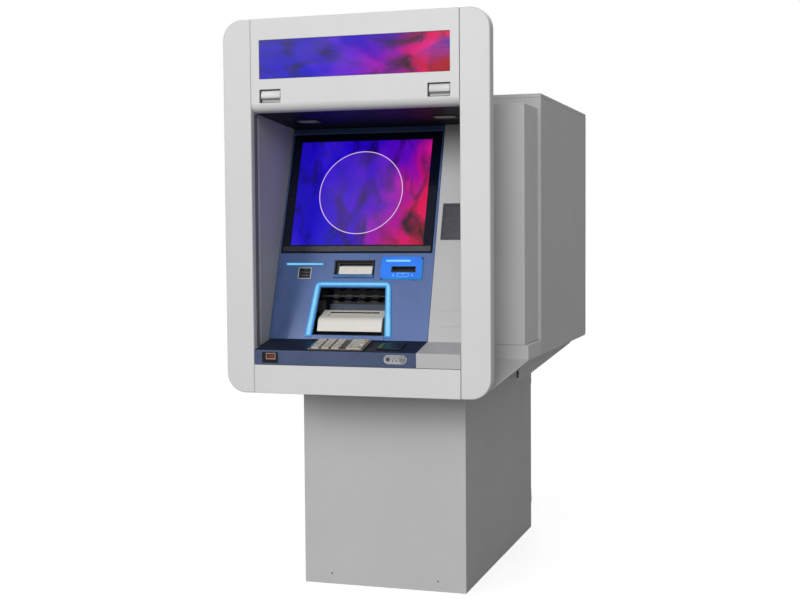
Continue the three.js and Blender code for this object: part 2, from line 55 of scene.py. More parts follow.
machineFrame = Matrix.Translation((0, frontY, 0)) @ Matrix.Scale(mm, 4)
consoleFoot = {"y": 105.4, "z": 685.5, "angle": math.radians(90 - 19.08)}
padFoot = {"y": 11.0, "z": 667.3, "angle": math.radians(14.4)}
shelfFoot = {"y": 0.0, "z": 665.0, "angle": math.atan2(20.5, 105.4)}
consoleFrame = tilted(**consoleFoot)
padFrame = tilted(**padFoot)
shelfFrame = tilted(**shelfFoot)
frontFrame = tilted(0, 0, math.radians(90))  # x across, y up, z out of the front
rearFrame = Matrix.Translation((0, frontY, 0)) @ Matrix.Rotation(math.pi, 4, "Z") @ Matrix.Rotation(
    math.radians(90), 4, "X") @ Matrix.Scale(mm, 4)  # x to the left seen from the front, y up, z back
slope = consoleFrame.to_3x3().normalized()
upSlope = slope @ Vector((0, 1, 0))
outward = slope @ Vector((0, 0, 1))  # straight out of the console's face


# a node's lowest and highest corners in millimetres of one of those frames
def span(node, within=machineFrame):
    inverse = within.inverted()
    points = [inverse @ v.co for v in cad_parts[node].data.vertices]
    low = Vector([min(p[i] for p in points) for i in range(3)])
    high = Vector([max(p[i] for p in points) for i in range(3)])
    return low, high


# ---- finishes ----
def tone(code):
    parts = [int(code[i:i + 2], 16) / 255 for i in (1, 3, 5)]
    return tuple(c / 12.92 if c < 0.04 else ((c + 0.055) / 1.055) ** 2.4 for c in parts) + (1.0,)


def wire(tree, kind, inputs=None, **settings):
    node = tree.nodes.new("ShaderNode" + kind)
    for key, value in settings.items():
        setattr(node, key, value)
    for key, value in (inputs or {}).items():
        if isinstance(value, bpy.types.NodeSocket):
            tree.links.new(value, node.inputs[key])
        else:
            node.inputs[key].default_value = value
    return node


def newFinish(name):
    material = bpy.data.materials.new(name)
    material.use_nodes = True
    material.node_tree.nodes.clear()
    return material, material.node_tree


def objectPlace(tree, stretch=(1, 1, 1)):
    where = wire(tree, "TexCoord").outputs["Object"]
    return wire(tree, "Mapping", {"Vector": where, "Scale": stretch}).outputs["Vector"]


# where a point of the surface lies in one of the frames, in millimetres
def placeIn(tree, foot):
    where = wire(tree, "TexCoord").outputs["Object"]
    return wire(tree, "Mapping", {
        "Vector": where,
        "Location": (0, frontY + foot["y"] * mm, foot["z"] * mm),
        "Rotation": (foot["angle"], 0, 0),
        "Scale": (mm, mm, mm),
    }, vector_type="TEXTURE").outputs["Vector"]


def noise(tree, where, scale, detail=3.0, rough=0.55, twist=0.0):
    return wire(tree, "TexNoise", {
        "Vector": where, "Scale": scale, "Detail": detail, "Roughness": rough, "Distortion": twist,
    }).outputs[0]


def remap(tree, value, low, high, start=0.3, end=0.7):
    return wire(tree, "MapRange", {
        "Value": value, "From Min": start, "From Max": end, "To Min": low, "To Max": high,
    }).outputs["Result"]


def blendTone(tree, share, first, second, how="MIX"):
    return wire(tree, "Mix", {0: share, 6: first, 7: second},
                data_type="RGBA", blend_type=how).outputs[2]


def maths(tree, how, *values):
    return wire(tree, "Math", dict(enumerate(values)), operation=how).outputs[0]


def closeFinish(tree, shader):
    wire(tree, "OutputMaterial", {"Surface": shader.outputs[0]})


# painted, moulded or coated surfaces: two close tones, handling marks in the gloss, fine texture
def coated(name, look):
    material, tree = newFinish(name)
    where = objectPlace(tree, look.get("stretch", (1, 1, 1)))
    broad = noise(tree, where, look.get("patch", 3.5), 4.0, 0.6, 0.4)
    fine = noise(tree, where, look.get("grain", 900), 2.0)
    smear = noise(tree, where, look.get("smear", 22), 5.0, 0.65, 1.2)
    base = blendTone(tree, remap(tree, broad, 0, 1), tone(look["tone"]), tone(look["second"]))
    speck = remap(tree, fine, 0, look.get("speck", 0.15), 0.55, 0.8)
    base = blendTone(tree, speck, base, tone(look.get("third", look["second"])))
    gloss = look["rough"]
    spread = look.get("spread", 0.08)
    rough = remap(tree, smear, gloss - spread, gloss + spread)
    relief = wire(tree, "Bump", {
        "Strength": look.get("relief", 0.25), "Distance": look.get("depth", 0.15) * mm, "Height": fine,
    })
    shader = wire(tree, "BsdfPrincipled", {
        "Base Color": base, "Roughness": rough, "Normal": relief.outputs["Normal"],
        "Metallic": look.get("metal", 0.0), "Coat Weight": look.get("coat", 0.0),
        "Coat Roughness": look.get("coatRough", 0.1), "Specular IOR Level": look.get("shine", 0.5),
    })
    closeFinish(tree, shader)
    return material


# lit plastic: light that is a little stronger in places, under a clear skin
def lit(name, look):
    material, tree = newFinish(name)
    where = objectPlace(tree)
    share = remap(tree, noise(tree, where, look.get("patch", 18), 3.0), 0, 1)
    glow = blendTone(tree, share, tone(look["tone"]), tone(look["second"]))
    grain = noise(tree, where, 1200, 2.0)
    relief = wire(tree, "Bump", {"Strength": 0.1, "Distance": 0.05 * mm, "Height": grain})
    shader = wire(tree, "BsdfPrincipled", {
        "Base Color": blendTone(tree, 0.85, glow, (0, 0, 0, 1)), "Roughness": remap(tree, grain, 0.25, 0.4),
        "Specular IOR Level": 0.3, "Normal": relief.outputs["Normal"],
        "Emission Color": glow, "Emission Strength": look["power"],
    })
    closeFinish(tree, shader)
    return material


# the smoky colours of the display and the sign, from blue at the left to red at the right foot
def smokyArt(name, look):
    material, tree = newFinish(name)
    where = placeIn(tree, look["foot"])
    smoke = wire(tree, "Mapping", {"Vector": where, "Scale": look["smoke"]}).outputs["Vector"]
    cloud = noise(tree, smoke, 0.7, 2.5, 0.45, 0.5)
    wisps = noise(tree, smoke, 1.1, 4.0, 0.5, 0.9)
    axes = wire(tree, "SeparateXYZ", {"Vector": where})
    across = remap(tree, axes.outputs["X"], 0.0, 1.0, *look["x"])
    upward = remap(tree, axes.outputs[look["up"]], 1.0, 1.0 - look["turn"], *look["y"])
    share = maths(tree, "MULTIPLY", across, upward)
    share = maths(tree, "ADD", share, remap(tree, cloud, -0.12, 0.12))
    ramp = wire(tree, "ValToRGB", {"Fac": share})
    stops = look["stops"]
    ramp.color_ramp.elements[0].position = stops[0][0]
    ramp.color_ramp.elements[0].color = tone(stops[0][1])
    ramp.color_ramp.elements[1].position = stops[-1][0]
    ramp.color_ramp.elements[1].color = tone(stops[-1][1])
    for at, code in stops[1:-1]:
        ramp.color_ramp.elements.new(at).color = tone(code)
    shadow = remap(tree, wisps, 0.0, 0.94, 0.46, 0.68)
    picture = blendTone(tree, shadow, ramp.outputs["Color"], tone(look["shadow"]))
    highlight = remap(tree, cloud, 0.0, look["haze"], 0.5, 0.75)
    picture = blendTone(tree, highlight, picture, tone(look["highlight"]), "SCREEN")
    if "ring" in look:
        ring = look["ring"]
        flat = wire(tree, "CombineXYZ", {"X": axes.outputs["X"], "Y": axes.outputs["Y"]})
        away = wire(tree, "VectorMath", {0: flat.outputs["Vector"], 1: ring["centre"] + (0,)},
                    operation="DISTANCE").outputs["Value"]
        disc = remap(tree, away, ring["veil"], 0.0, ring["radius"] - 0.5, ring["radius"] + 0.5)
        picture = blendTone(tree, disc, picture, tone(ring["haze"]))
        off = maths(tree, "ABSOLUTE", maths(tree, "SUBTRACT", away, ring["radius"]))
        line = remap(tree, off, 1.0, 0.0, ring["half"], ring["half"] + 0.7)
        picture = blendTone(tree, line, picture, tone(ring["line"]))
    shader = wire(tree, "BsdfPrincipled", {
        "Base Color": blendTone(tree, 0.92, picture, (0, 0, 0, 1)),
        "Roughness": remap(tree, wisps, 0.14, 0.24), "Specular IOR Level": 0.3,
        "Emission Color": picture, "Emission Strength": look["power"],
    })
    closeFinish(tree, shader)
    return material


paint = {
    "fasciaGrey": {"tone": "#cdcdcd", "second": "#c9c9c9", "third": "#d6d6d6", "rough": 0.44,
                   "relief": 0.3, "depth": 0.12, "grain": 700, "speck": 0.25, "spread": 0.04},
    "collarGrey": {"tone": "#c6c6c6", "second": "#c2c2c2", "rough": 0.45, "relief": 0.25,
                   "spread": 0.04},
    "cabinetGrey": {"tone": "#bbbbbb", "second": "#b7b7b7", "rough": 0.46, "relief": 0.25,
                    "smear": 9, "spread": 0.03},
    "pedestalGrey": {"tone": "#b7b7b7", "second": "#b2b2b2", "rough": 0.42, "relief": 0.2,
                     "smear": 7, "spread": 0.03},
    "linerGrey": {"tone": "#b0b0b1", "second": "#ababac", "rough": 0.5, "relief": 0.3},
    # painted shade: the darker grey of the strips just behind the stiles
    "gasketGrey": {"tone": "#6c6c6d", "second": "#737374", "rough": 0.6, "relief": 0.3},
    "shelfBlue": {"tone": "#415071", "second": "#3b4968", "third": "#67779c", "rough": 0.38,
                  "metal": 0.3, "grain": 1600, "speck": 0.4, "relief": 0.12, "coat": 0.25},
    "readerBlack": {"tone": "#0a0b10", "second": "#101118", "rough": 0.42, "relief": 0.1, "shine": 0.3},
    "ceilingBlack": {"tone": "#0f0f10", "second": "#141415", "rough": 0.5, "relief": 0.2,
                     "shine": 0.2},
    "consoleBlue": {"tone": "#40588a", "second": "#374d7a", "third": "#6e88b8", "rough": 0.34,
                    "metal": 0.35, "grain": 1600, "speck": 0.4, "relief": 0.12, "coat": 0.4},
    "shelfDark": {"tone": "#131828", "second": "#181e31", "third": "#2f374e", "rough": 0.5,
                  "grain": 1600, "speck": 0.3, "relief": 0.12, "shine": 0.3},
    "glossBlack": {"tone": "#07080c", "second": "#0c0d12", "rough": 0.12, "spread": 0.05,
                   "relief": 0.05, "coat": 0.6, "coatRough": 0.04},
    "satinBlack": {"tone": "#0d0e11", "second": "#141519", "rough": 0.45, "shine": 0.35, "relief": 0.4,
                   "depth": 0.2, "grain": 1100},
    "displayBlack": {"tone": "#040919", "second": "#070c20", "rough": 0.1, "spread": 0.03,
                     "relief": 0.03, "shine": 0.35},
    "smokedGrey": {"tone": "#1c1d27", "second": "#22232d", "rough": 0.28, "spread": 0.02,
                   "relief": 0.04, "coat": 0.3},
    "trayCream": {"tone": "#d3d1ca", "second": "#c9c6be", "rough": 0.34, "relief": 0.2,
                  "grain": 800, "coat": 0.15},
    "keySteel": {"tone": "#cdc8be", "second": "#c2bcb1", "rough": 0.38, "metal": 0.35,
                 "stretch": (0.12, 1, 1), "grain": 1500, "relief": 0.3},
    "padSteel": {"tone": "#5f5a53", "second": "#55504a", "rough": 0.4, "metal": 0.5,
                 "stretch": (0.06, 1, 1), "grain": 1500, "relief": 0.3},
    "plateSteel": {"tone": "#bcbec4", "second": "#b0b2b8", "rough": 0.3, "metal": 0.7,
                   "stretch": (0.06, 1, 1), "grain": 1400, "relief": 0.25},
    "brightSteel": {"tone": "#d5d7d9", "second": "#c6c8ca", "rough": 0.2, "metal": 0.95,
                    "stretch": (1, 1, 0.1), "grain": 1200, "relief": 0.15},
    "zincSteel": {"tone": "#a9abad", "second": "#96989a", "third": "#c2c4c6", "rough": 0.4,
                  "metal": 0.85, "patch": 40, "grain": 300, "speck": 0.5, "relief": 0.1},
    "moduleBlack": {"tone": "#24262a", "second": "#2c2f34", "rough": 0.5, "relief": 0.4},
    "cassetteGrey": {"tone": "#474c55", "second": "#3e434b", "rough": 0.5, "relief": 0.5,
                     "depth": 0.25, "grain": 600},
    "handleRed": {"tone": "#9c2420", "second": "#8b1d1a", "rough": 0.35, "relief": 0.2, "coat": 0.3},
    "lensSilver": {"tone": "#a6a6a6", "second": "#9c9c9c", "rough": 0.34, "metal": 0.3,
                   "relief": 0.08, "coat": 0.2},
    "rubberBlack": {"tone": "#1a1a1b", "second": "#232324", "rough": 0.7, "relief": 0.5},
    "markInk": {"tone": "#2b2b2e", "second": "#36363a", "rough": 0.5, "relief": 0.1},
    "markWhite": {"tone": "#e8e8e8", "second": "#dcdcdc", "rough": 0.4, "relief": 0.1},
    "markRed": {"tone": "#b8402c", "second": "#a83724", "rough": 0.4, "relief": 0.1},
    "markYellow": {"tone": "#d6a233", "second": "#c8942a", "rough": 0.4, "relief": 0.1},
    "markGreen": {"tone": "#4b8a48", "second": "#417c3f", "rough": 0.4, "relief": 0.1},
    # also the dark frames round the header lenses, where it is painted shade
    "lampGrey": {"tone": "#242425", "second": "#2a2a2c", "rough": 0.5, "relief": 0.1},
    "deepBlue": {"tone": "#24406c", "second": "#1c355c", "rough": 0.3, "relief": 0.1, "coat": 0.4},
    "shutterSlate": {"tone": "#2a3140", "second": "#333b4b", "rough": 0.35, "metal": 0.4},
    "warmSteel": {"tone": "#9c8f80", "second": "#8c8072", "rough": 0.4, "metal": 0.4},
    "rimSteel": {"tone": "#a39d92", "second": "#958f84", "rough": 0.3, "metal": 0.8,
                 "stretch": (0.1, 1, 1), "grain": 1400, "relief": 0.25},
    "buttonSteel": {"tone": "#9b9b9b", "second": "#8e8e8e", "rough": 0.35, "metal": 0.6},
    "darkRing": {"tone": "#55565a", "second": "#4a4b4f", "rough": 0.4, "metal": 0.6},
    "dimMark": {"tone": "#4a5568", "second": "#556074", "rough": 0.4, "relief": 0.1},
    "cassetteCatch": {"tone": "#2f6f9c", "second": "#296288", "rough": 0.4, "relief": 0.2},
    "catchGreen": {"tone": "#2f7a43", "second": "#296c3b", "rough": 0.4, "relief": 0.2},
    "deepRed": {"tone": "#571512", "second": "#70211d", "rough": 0.2, "relief": 0.1, "coat": 0.5,
                "patch": 120},
}
glow = {
    "cyanGlow": {"tone": "#2f96e0", "second": "#44a8ee", "power": 0.7},
    "softCyan": {"tone": "#2474b8", "second": "#3a90d0", "power": 0.45},
    "cardBlue": {"tone": "#006ce8", "second": "#007cf4", "power": 0.85},
    "lampLens": {"tone": "#9c9c97", "second": "#aaaaa5", "power": 0.4},
    "cyanCore": {"tone": "#74c4ee", "second": "#90d4f6", "power": 0.85},
    "greenGlow": {"tone": "#2c6a3a", "second": "#3d8a4c", "power": 0.35},
}
finishes = {name: coated(name, look) for name, look in paint.items()}
finishes.update({name: lit(name, look) for name, look in glow.items()})

art = {
    "stops": [(0.0, "#1e0cc0"), (0.22, "#1c04d4"), (0.40, "#3606ca"), (0.54, "#6408c4"),
              (0.66, "#ac089e"), (0.80, "#e40458"), (0.95, "#e80a1c")],
    "shadow": "#07021a", "highlight": "#5a3aff",
}
screenLook = {
    "foot": consoleFoot, "x": (-250.0, 125.4), "up": "Y", "y": (263.4, 562.8), "turn": 0.34,
    "smoke": (0.014, 0.009, 0), "haze": 0.25, "power": 0.78,
    "ring": {"centre": (-64.0, 413.0), "radius": 118.0, "half": 0.7, "line": "#fbd3fc",
             "veil": 0.16, "haze": "#8a55ea"},
}
signLook = {
    "foot": {"y": 0, "z": 0, "angle": 0}, "x": (-254, 254), "up": "Z", "y": (1362.6, 1461.8),
    "turn": 0.12, "smoke": (0.008, 0, 0.014), "haze": 0.6, "power": 0.8,
}
finishes["screenArt"] = smokyArt("screenArt", {**art, **screenLook})
finishes["signArt"] = smokyArt("signArt", {**art, **signLook})
print("finishes mixed:", len(finishes))


# ---- bench tools ----
# they add closed shapes to a bmesh, in millimetres; finish picks one of the piece's finishes
def facesOf(made):
    return list(dict.fromkeys(f for v in made for f in v.link_faces))


def edgesOf(made):
    return list(dict.fromkeys(e for v in made for e in v.link_edges))


def setFinish(made, number):
    for face in facesOf(made):
        face.material_index = number


def bevelled(bm, edges, offset, segments=2):
    bmesh.ops.bevel(bm, geom=edges, offset=offset, offset_type="OFFSET", segments=segments,
                    profile=0.5, affect="EDGES", material=-1, clamp_overlap=True)


def cube(bm, x, y, z, finish):
    made = bmesh.ops.create_cube(bm, size=1)["verts"]
    bmesh.ops.scale(bm, vec=(x[1] - x[0], y[1] - y[0], z[1] - z[0]), verts=made)
    bmesh.ops.translate(bm, vec=((x[0] + x[1]) / 2, (y[0] + y[1]) / 2, (z[0] + z[1]) / 2), verts=made)
    setFinish(made, finish)
    return made


def block(bm, x, y, z, soft=0.0, segments=2, finish=0):
    made = cube(bm, x, y, z, finish)
    if soft:
        bevelled(bm, edgesOf(made), soft, segments)


# a block whose upright edges are rounded to a corner, then its rims softened
def plate(bm, x, y, z, corner, soft=0.0, segments=5, finish=0):
    made = cube(bm, x, y, z, finish)
    upright = [e for e in edgesOf(made) if abs((e.verts[0].co - e.verts[1].co).z) > (z[1] - z[0]) / 2]
    ends = [f for f in facesOf(made) if abs(f.normal.z) > 0.9]
    bevelled(bm, upright, corner, segments)
    if soft:
        bevelled(bm, list(dict.fromkeys(e for f in ends if f.is_valid for e in f.edges)), soft)


# a bar between two points; end is the far radius where it tapers
def rod(bm, radius, start, stop, sides=32, end=None, soft=0.0, finish=0):
    start = Vector(start)
    line = Vector(stop) - start
    made = bmesh.ops.create_cone(bm, cap_ends=True, segments=sides, radius1=radius,
                                 radius2=radius if end is None else end, depth=line.length)["verts"]
    turn = Vector((0, 0, 1)).rotation_difference(line).to_matrix().to_4x4()
    bmesh.ops.transform(bm, matrix=Matrix.Translation(start + line / 2) @ turn, verts=made)
    setFinish(made, finish)
    if soft:
        bevelled(bm, [e for e in edgesOf(made) if len(e.link_faces) == 2 and e.calc_face_angle() > 1.0],
                 soft)


# a washer: four edges spun all the way round centre, about z of the frame
def ring(bm, centre, inner, outer, z, steps=48, finish=0):
    before = set(bm.faces)
    corners = [(inner, z[0]), (outer, z[0]), (outer, z[1]), (inner, z[1])]
    made = [bm.verts.new((centre[0] + r, centre[1], h)) for r, h in corners]
    edges = [bm.edges.new((made[i], made[(i + 1) % 4])) for i in range(4)]
    bmesh.ops.spin(bm, geom=edges, cent=(centre[0], centre[1], 0), axis=(0, 0, 1), dvec=(0, 0, 0),
                   angle=2 * math.pi, steps=steps, use_merge=True, use_duplicate=False)
    for face in set(bm.faces) - before:
        face.material_index = finish


# a closed shape of one outline pushed along a direction
def prism(bm, points, push, soft=0.0, finish=0):
    made = [bm.verts.new(p) for p in points]
    face = bm.faces.new(made)
    face.material_index = finish
    pushed = bmesh.ops.extrude_face_region(bm, geom=[face])["geom"]
    far = [v for v in pushed if isinstance(v, bmesh.types.BMVert)]
    bmesh.ops.translate(bm, vec=push, verts=far)
    setFinish(made + far, finish)
    if soft:
        bevelled(bm, edgesOf(made + far), soft)


# a CAD node's shape with its flat faces whole again, in metres
def shapeOf(node):
    bm = bmesh.new()
    bm.from_mesh(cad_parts[node].data)
    bmesh.ops.remove_doubles(bm, verts=bm.verts, dist=0.00001)
    bmesh.ops.dissolve_limit(bm, angle_limit=math.radians(1), verts=bm.verts, edges=bm.edges,
                             use_dissolve_boundaries=False)
    for face in bm.faces:
        face.material_index = 0
    return bm


# a bmesh made an object, with its finishes, body and the CAD nodes it stands for
def addPiece(name, bm, look, body="frame", stands=(), within=None, bevel=0.0, smooth=35,
             segments=2):
    if within is not None:
        bmesh.ops.transform(bm, matrix=within, verts=bm.verts)
        bmesh.ops.recalc_face_normals(bm, faces=bm.faces)
    mesh = bpy.data.meshes.new(name)
    bm.to_mesh(mesh)
    bm.free()
    for finish in ([look] if isinstance(look, str) else look):
        mesh.materials.append(finishes[finish])
    mesh.shade_smooth()
    mesh.set_sharp_from_angle(angle=math.radians(smooth))
    piece = bpy.data.objects.new(name, mesh)
    bpy.context.scene.collection.objects.link(piece)
    if bevel:
        soften = piece.modifiers.new("soften", "BEVEL")
        soften.width = bevel * mm
        soften.segments = segments
        soften.limit_method = "ANGLE"
        soften.angle_limit = math.radians(30)
        soften.use_clamp_overlap = True
    level = piece.modifiers.new("flat faces stay flat", "WEIGHTED_NORMAL")
    level.weight = 50
    level.keep_sharp = True
    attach(piece, body)
    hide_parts(*stands)


# a copy of a CAD node with softened edges, which stands for it
def softCopy(node, look, body="frame", bevel=0.8, segments=2):
    addPiece(node + "_finished", shapeOf(node), look, body, (node,), bevel=bevel,
             segments=segments)


# a bar that follows part of a circle, flat in the frame
def arc(bm, centre, radius, wide, z, first, sweep, steps=24, finish=0):
    before = set(bm.faces)
    turn = Matrix.Rotation(math.radians(first), 4, "Z")
    middle = Vector((centre[0], centre[1], 0))
    corners = [(radius - wide / 2, z[0]), (radius + wide / 2, z[0]),
               (radius + wide / 2, z[1]), (radius - wide / 2, z[1])]
    face = bm.faces.new([bm.verts.new(middle + turn @ Vector((r, 0, h))) for r, h in corners])
    bmesh.ops.spin(bm, geom=[face] + list(face.edges) + list(face.verts), cent=middle, axis=(0, 0, 1),
                   dvec=(0, 0, 0), angle=math.radians(sweep), steps=steps, use_merge=False,
                   use_duplicate=False)
    for face in set(bm.faces) - before:
        face.material_index = finish


# a stretch across the machine, on its left (-1) or right (1) side
def mirrored(x, side):
    return tuple(sorted((side * x[0], side * x[1])))


# four bars from an outline in to the edge of a hole
def border(bm, x, y, z, holeX, holeY, soft=0.0, finish=0):
    block(bm, x, (y[0], holeY[0]), z, soft, 2, finish)
    block(bm, x, (holeY[1], y[1]), z, soft, 2, finish)
    block(bm, (x[0], holeX[0]), holeY, z, soft, 2, finish)
    block(bm, (holeX[1], x[1]), holeY, z, soft, 2, finish)


# the same, with bars of one width
def rim(bm, x, y, z, wide, soft=0.0, finish=0):
    border(bm, x, y, z, (x[0] + wide, x[1] - wide), (y[0] + wide, y[1] - wide), soft, finish)


# a small countersunk screw head with a cross slot, drawn as a raised black cross: painted shade for the
# slot's recess
def screw(bm, x, y, z, radius):
    rod(bm, radius, (x, y, z - 0.6), (x, y, z + 0.5), sides=20, end=radius * 0.82)
    wide = radius * 0.24
    for across, up in ((radius * 0.62, wide), (wide, radius * 0.62)):
        block(bm, (x - across, x + across), (y - up, y + up), (z + 0.3, z + 0.56), finish=1)


# a raised mark from the plain built-in face, centred on a point, in the piece's second finish
def legend(bm, text, size, x, y, z, raised):
    words = bpy.data.curves.new("legend", "FONT")
    words.body = text
    words.size = size
    words.align_x = "CENTER"
    words.align_y = "CENTER"
    words.extrude = raised / 2
    words.resolution_u = 3
    holder = bpy.data.objects.new("legend", words)
    mesh = bpy.data.meshes.new_from_object(holder)
    mesh.transform(Matrix.Translation((x, y, z + raised / 2)))
    mesh.materials.clear()
    stroke = bmesh.new()
    stroke.from_mesh(mesh)
    bmesh.ops.remove_doubles(stroke, verts=stroke.verts, dist=0.001)
    for face in stroke.faces:
        face.material_index = 1
    stroke.to_mesh(mesh)
    stroke.free()
    bm.from_mesh(mesh)
    bpy.data.meshes.remove(mesh)
    bpy.data.objects.remove(holder)
    bpy.data.curves.remove(words)


# ---- surround ----
surround = {
    "edge": 3.2, "seamEdge": 1.1,
    "lens": {"x": (198.6, 251.4), "z": (1303.4, 1333.4), "back": 13.6, "crown": 4.6, "lip": 10,
             "bulge": 2.4, "fall": 19, "foot": 5.5},
    # the dark frame round each lens is painted shade at the pocket's edges
    "lensShadeFrame": {"x": (196.3, 253.7), "z": (1302.3, 1335.7), "y": (6.0, 13.7), "wide": 1.6},
}


def makeSurround():
    for node in ("left_stile", "right_stile"):
        softCopy(node, "fasciaGrey", bevel=surround["edge"], segments=3)
    for node in ("header_panel", "lower_panel"):
        softCopy(node, "fasciaGrey", bevel=surround["seamEdge"])
    bm = shapeOf("sign_box")
    for face in bm.faces:
        face.material_index = 0 if face.normal.y < -0.9 else 1
    addPiece("sign_lightbox", bm, ["signArt", "satinBlack"], stands=("sign_box",), bevel=0.6)
    lens, edge = surround["lens"], surround["lensShadeFrame"]
    low, high = lens["z"]
    for side, name in ((-1, "header_lens_left"), (1, "header_lens_right")):
        bm = bmesh.new()
        near, far = mirrored(lens["x"], side)
        bulge = [(lens["back"], high)]
        for step in range(7):  # the bulge falls away to a lip at the foot
            share = step / 6
            bulge.append((lens["crown"] + lens["bulge"] * (1 - share) ** 2, high - share * lens["fall"]))
        bulge += [(lens["lip"], low + lens["foot"]), (lens["lip"], low), (lens["back"], low)]
        prism(bm, [(near, y, z) for y, z in bulge], (far - near, 0, 0), 0.35)
        # dark bars round the lens: painted shade where the pocket's edges are shaded
        (x0, x1), (z0, z1), wide = mirrored(edge["x"], side), edge["z"], edge["wide"]
        for z in ((z0, z0 + wide), (z1 - wide, z1)):
            block(bm, (x0, x1), edge["y"], z, 0.3, 1, 1)
        for x in ((x0, x0 + wide), (x1 - wide, x1)):
            block(bm, x, edge["y"], (z0 + wide, z1 - wide), 0.3, 1, 1)
        addPiece(name, bm, ["lensSilver", "lampGrey"], within=machineFrame, smooth=28)
    print("surround done")


# ---- alcove ----
alcove = {
    "bead": {"x": (279.6, 282.2), "y": (42, 55), "z": (676, 1268)},
    # darker strips just behind the stiles: painted shade where the stiles shade the alcove walls
    "gasket": {"x": (277.4, 278.3), "y": (18, 38.2), "z": (672, 1276)},
    "lamp": {"x": 190, "y": 181, "wide": 62, "deep": 50, "slats": 7},
    "ceiling": {"z": 1279, "drop": 24, "start": 38.9, "deep": 291.1},
}


def makeAlcove():
    bm = shapeOf("alcove_liner")
    for face in bm.faces:
        if face.normal.z < -0.5 and face.calc_center_median().z > 1.2:
            face.material_index = 1
    addPiece("alcove_lining", bm, ["linerGrey", "ceilingBlack"], stands=("alcove_liner",),
             bevel=0.8)
    # the bead is trim; the darker strips just behind the stiles are painted shade
    for name, look, soft in (("bead", "fasciaGrey", 1.0), ("gasket", "gasketGrey", 0.3)):
        strip = alcove[name]
        bm = bmesh.new()
        for side in (-1, 1):
            block(bm, mirrored(strip["x"], side), strip["y"], strip["z"], soft, 3)
        addPiece("alcove_" + name, bm, look, within=machineFrame)

    lamp, ceiling = alcove["lamp"], alcove["ceiling"]
    height = ceiling["z"] - ceiling["drop"] * (lamp["y"] - ceiling["start"]) / ceiling["deep"]
    lampFrame = tilted(lamp["y"], height, -math.atan2(ceiling["drop"], ceiling["deep"]))
    for side, name in ((-1, "ceiling_lamp_left"), (1, "ceiling_lamp_right")):
        bm = bmesh.new()
        x = (side * lamp["x"] - lamp["wide"] / 2, side * lamp["x"] + lamp["wide"] / 2)
        y = (-lamp["deep"] / 2, lamp["deep"] / 2)
        rim(bm, x, y, (-2.4, -0.1), 3.0, 0.5)
        block(bm, (x[0] + 2, x[1] - 2), (y[0] + 2, y[1] - 2), (-0.7, -0.2), 0, 1, 1)
        pitch = (lamp["wide"] - 8) / lamp["slats"]
        for number in range(lamp["slats"]):
            left = x[0] + 4 + pitch * (number + 0.3)
            block(bm, (left, left + pitch * 0.35), (y[0] + 3, y[1] - 3), (-2.1, -0.6), 0.3, 1, 0)
        addPiece(name, bm, ["lampGrey", "lampLens"], within=lampFrame)
    print("alcove done")


# ---- console: the tilted blue panel with its display, lights, printer and card slot ----
console = {
    "screen": {"x": (-250, 125.4), "s": (263.4, 562.8), "n": (0.7, 1.1)},
    "lowerBand": {"x": (-271, 147), "s": (245.5, 260), "n": (0.7, 0.98)},
    "status": {"x": (-254, -149), "s": (207, 211.5), "n": (0.1, 1.7)},
    # the glowing plate round the core is a painted halo of the status light
    "statusPaintedHalo": {"x": (-257.5, -145.5), "s": (203.8, 214.8), "n": (-0.2, 1.0)},
    "sensor": {"x": (-218, -181), "s": (168, 199), "n": (-0.2, 2.4)},
    "paper": {"x": (-102.5, -9), "s": (181.2, 204.6), "n": (-5.8, 1.2)},
    "lip": {"x": (-117, -3), "s": (171.5, 179.4), "n": (2.2, 3.6)},
}


def makeConsole():
    softCopy("console_panel", "consoleBlue", bevel=1.2)
    softCopy("display_glass", "displayBlack", bevel=0.5)
    for name, key, look in (("display_picture", "screen", "screenArt"),
                            ("display_band", "lowerBand", "smokedGrey")):
        part = console[key]
        bm = bmesh.new()
        plate(bm, part["x"], part["s"], part["n"], 0.6, 0, segments=2)
        addPiece(name, bm, look, within=consoleFrame)

    # painted light: the softer glowing plate round the core stands for the status light's halo
    edge, core = console["statusPaintedHalo"], console["status"]
    bm = bmesh.new()
    plate(bm, edge["x"], edge["s"], edge["n"], 4.0, 0.4)
    plate(bm, core["x"], core["s"], core["n"], 2.6, 0.6, finish=1)
    addPiece("status_light", bm, ["softCyan", "cyanCore"], within=consoleFrame)

    sensor = console["sensor"]
    x, s = sensor["x"], sensor["s"]
    bm = bmesh.new()
    rim(bm, x, s, sensor["n"], 1.7, 0.4, 1)
    block(bm, (x[0] + 1.5, x[1] - 1.5), (s[0] + 1.5, s[1] - 1.5), (-0.3, 0.8))
    for height in (8, 16.5):
        block(bm, (x[0] + 4, x[1] - 4), (s[0] + height, s[0] + height + 4.5), (0.4, 2.1), 0.6, 2, 2)
    rod(bm, 2.2, (x[0] + 18.5, s[1] - 6, 0.5), (x[0] + 18.5, s[1] - 6, 1.5), 20, soft=0.3, finish=2)
    addPiece("identity_sensor", bm, ["glossBlack", "plateSteel", "smokedGrey"],
             within=consoleFrame)
    print("console done")


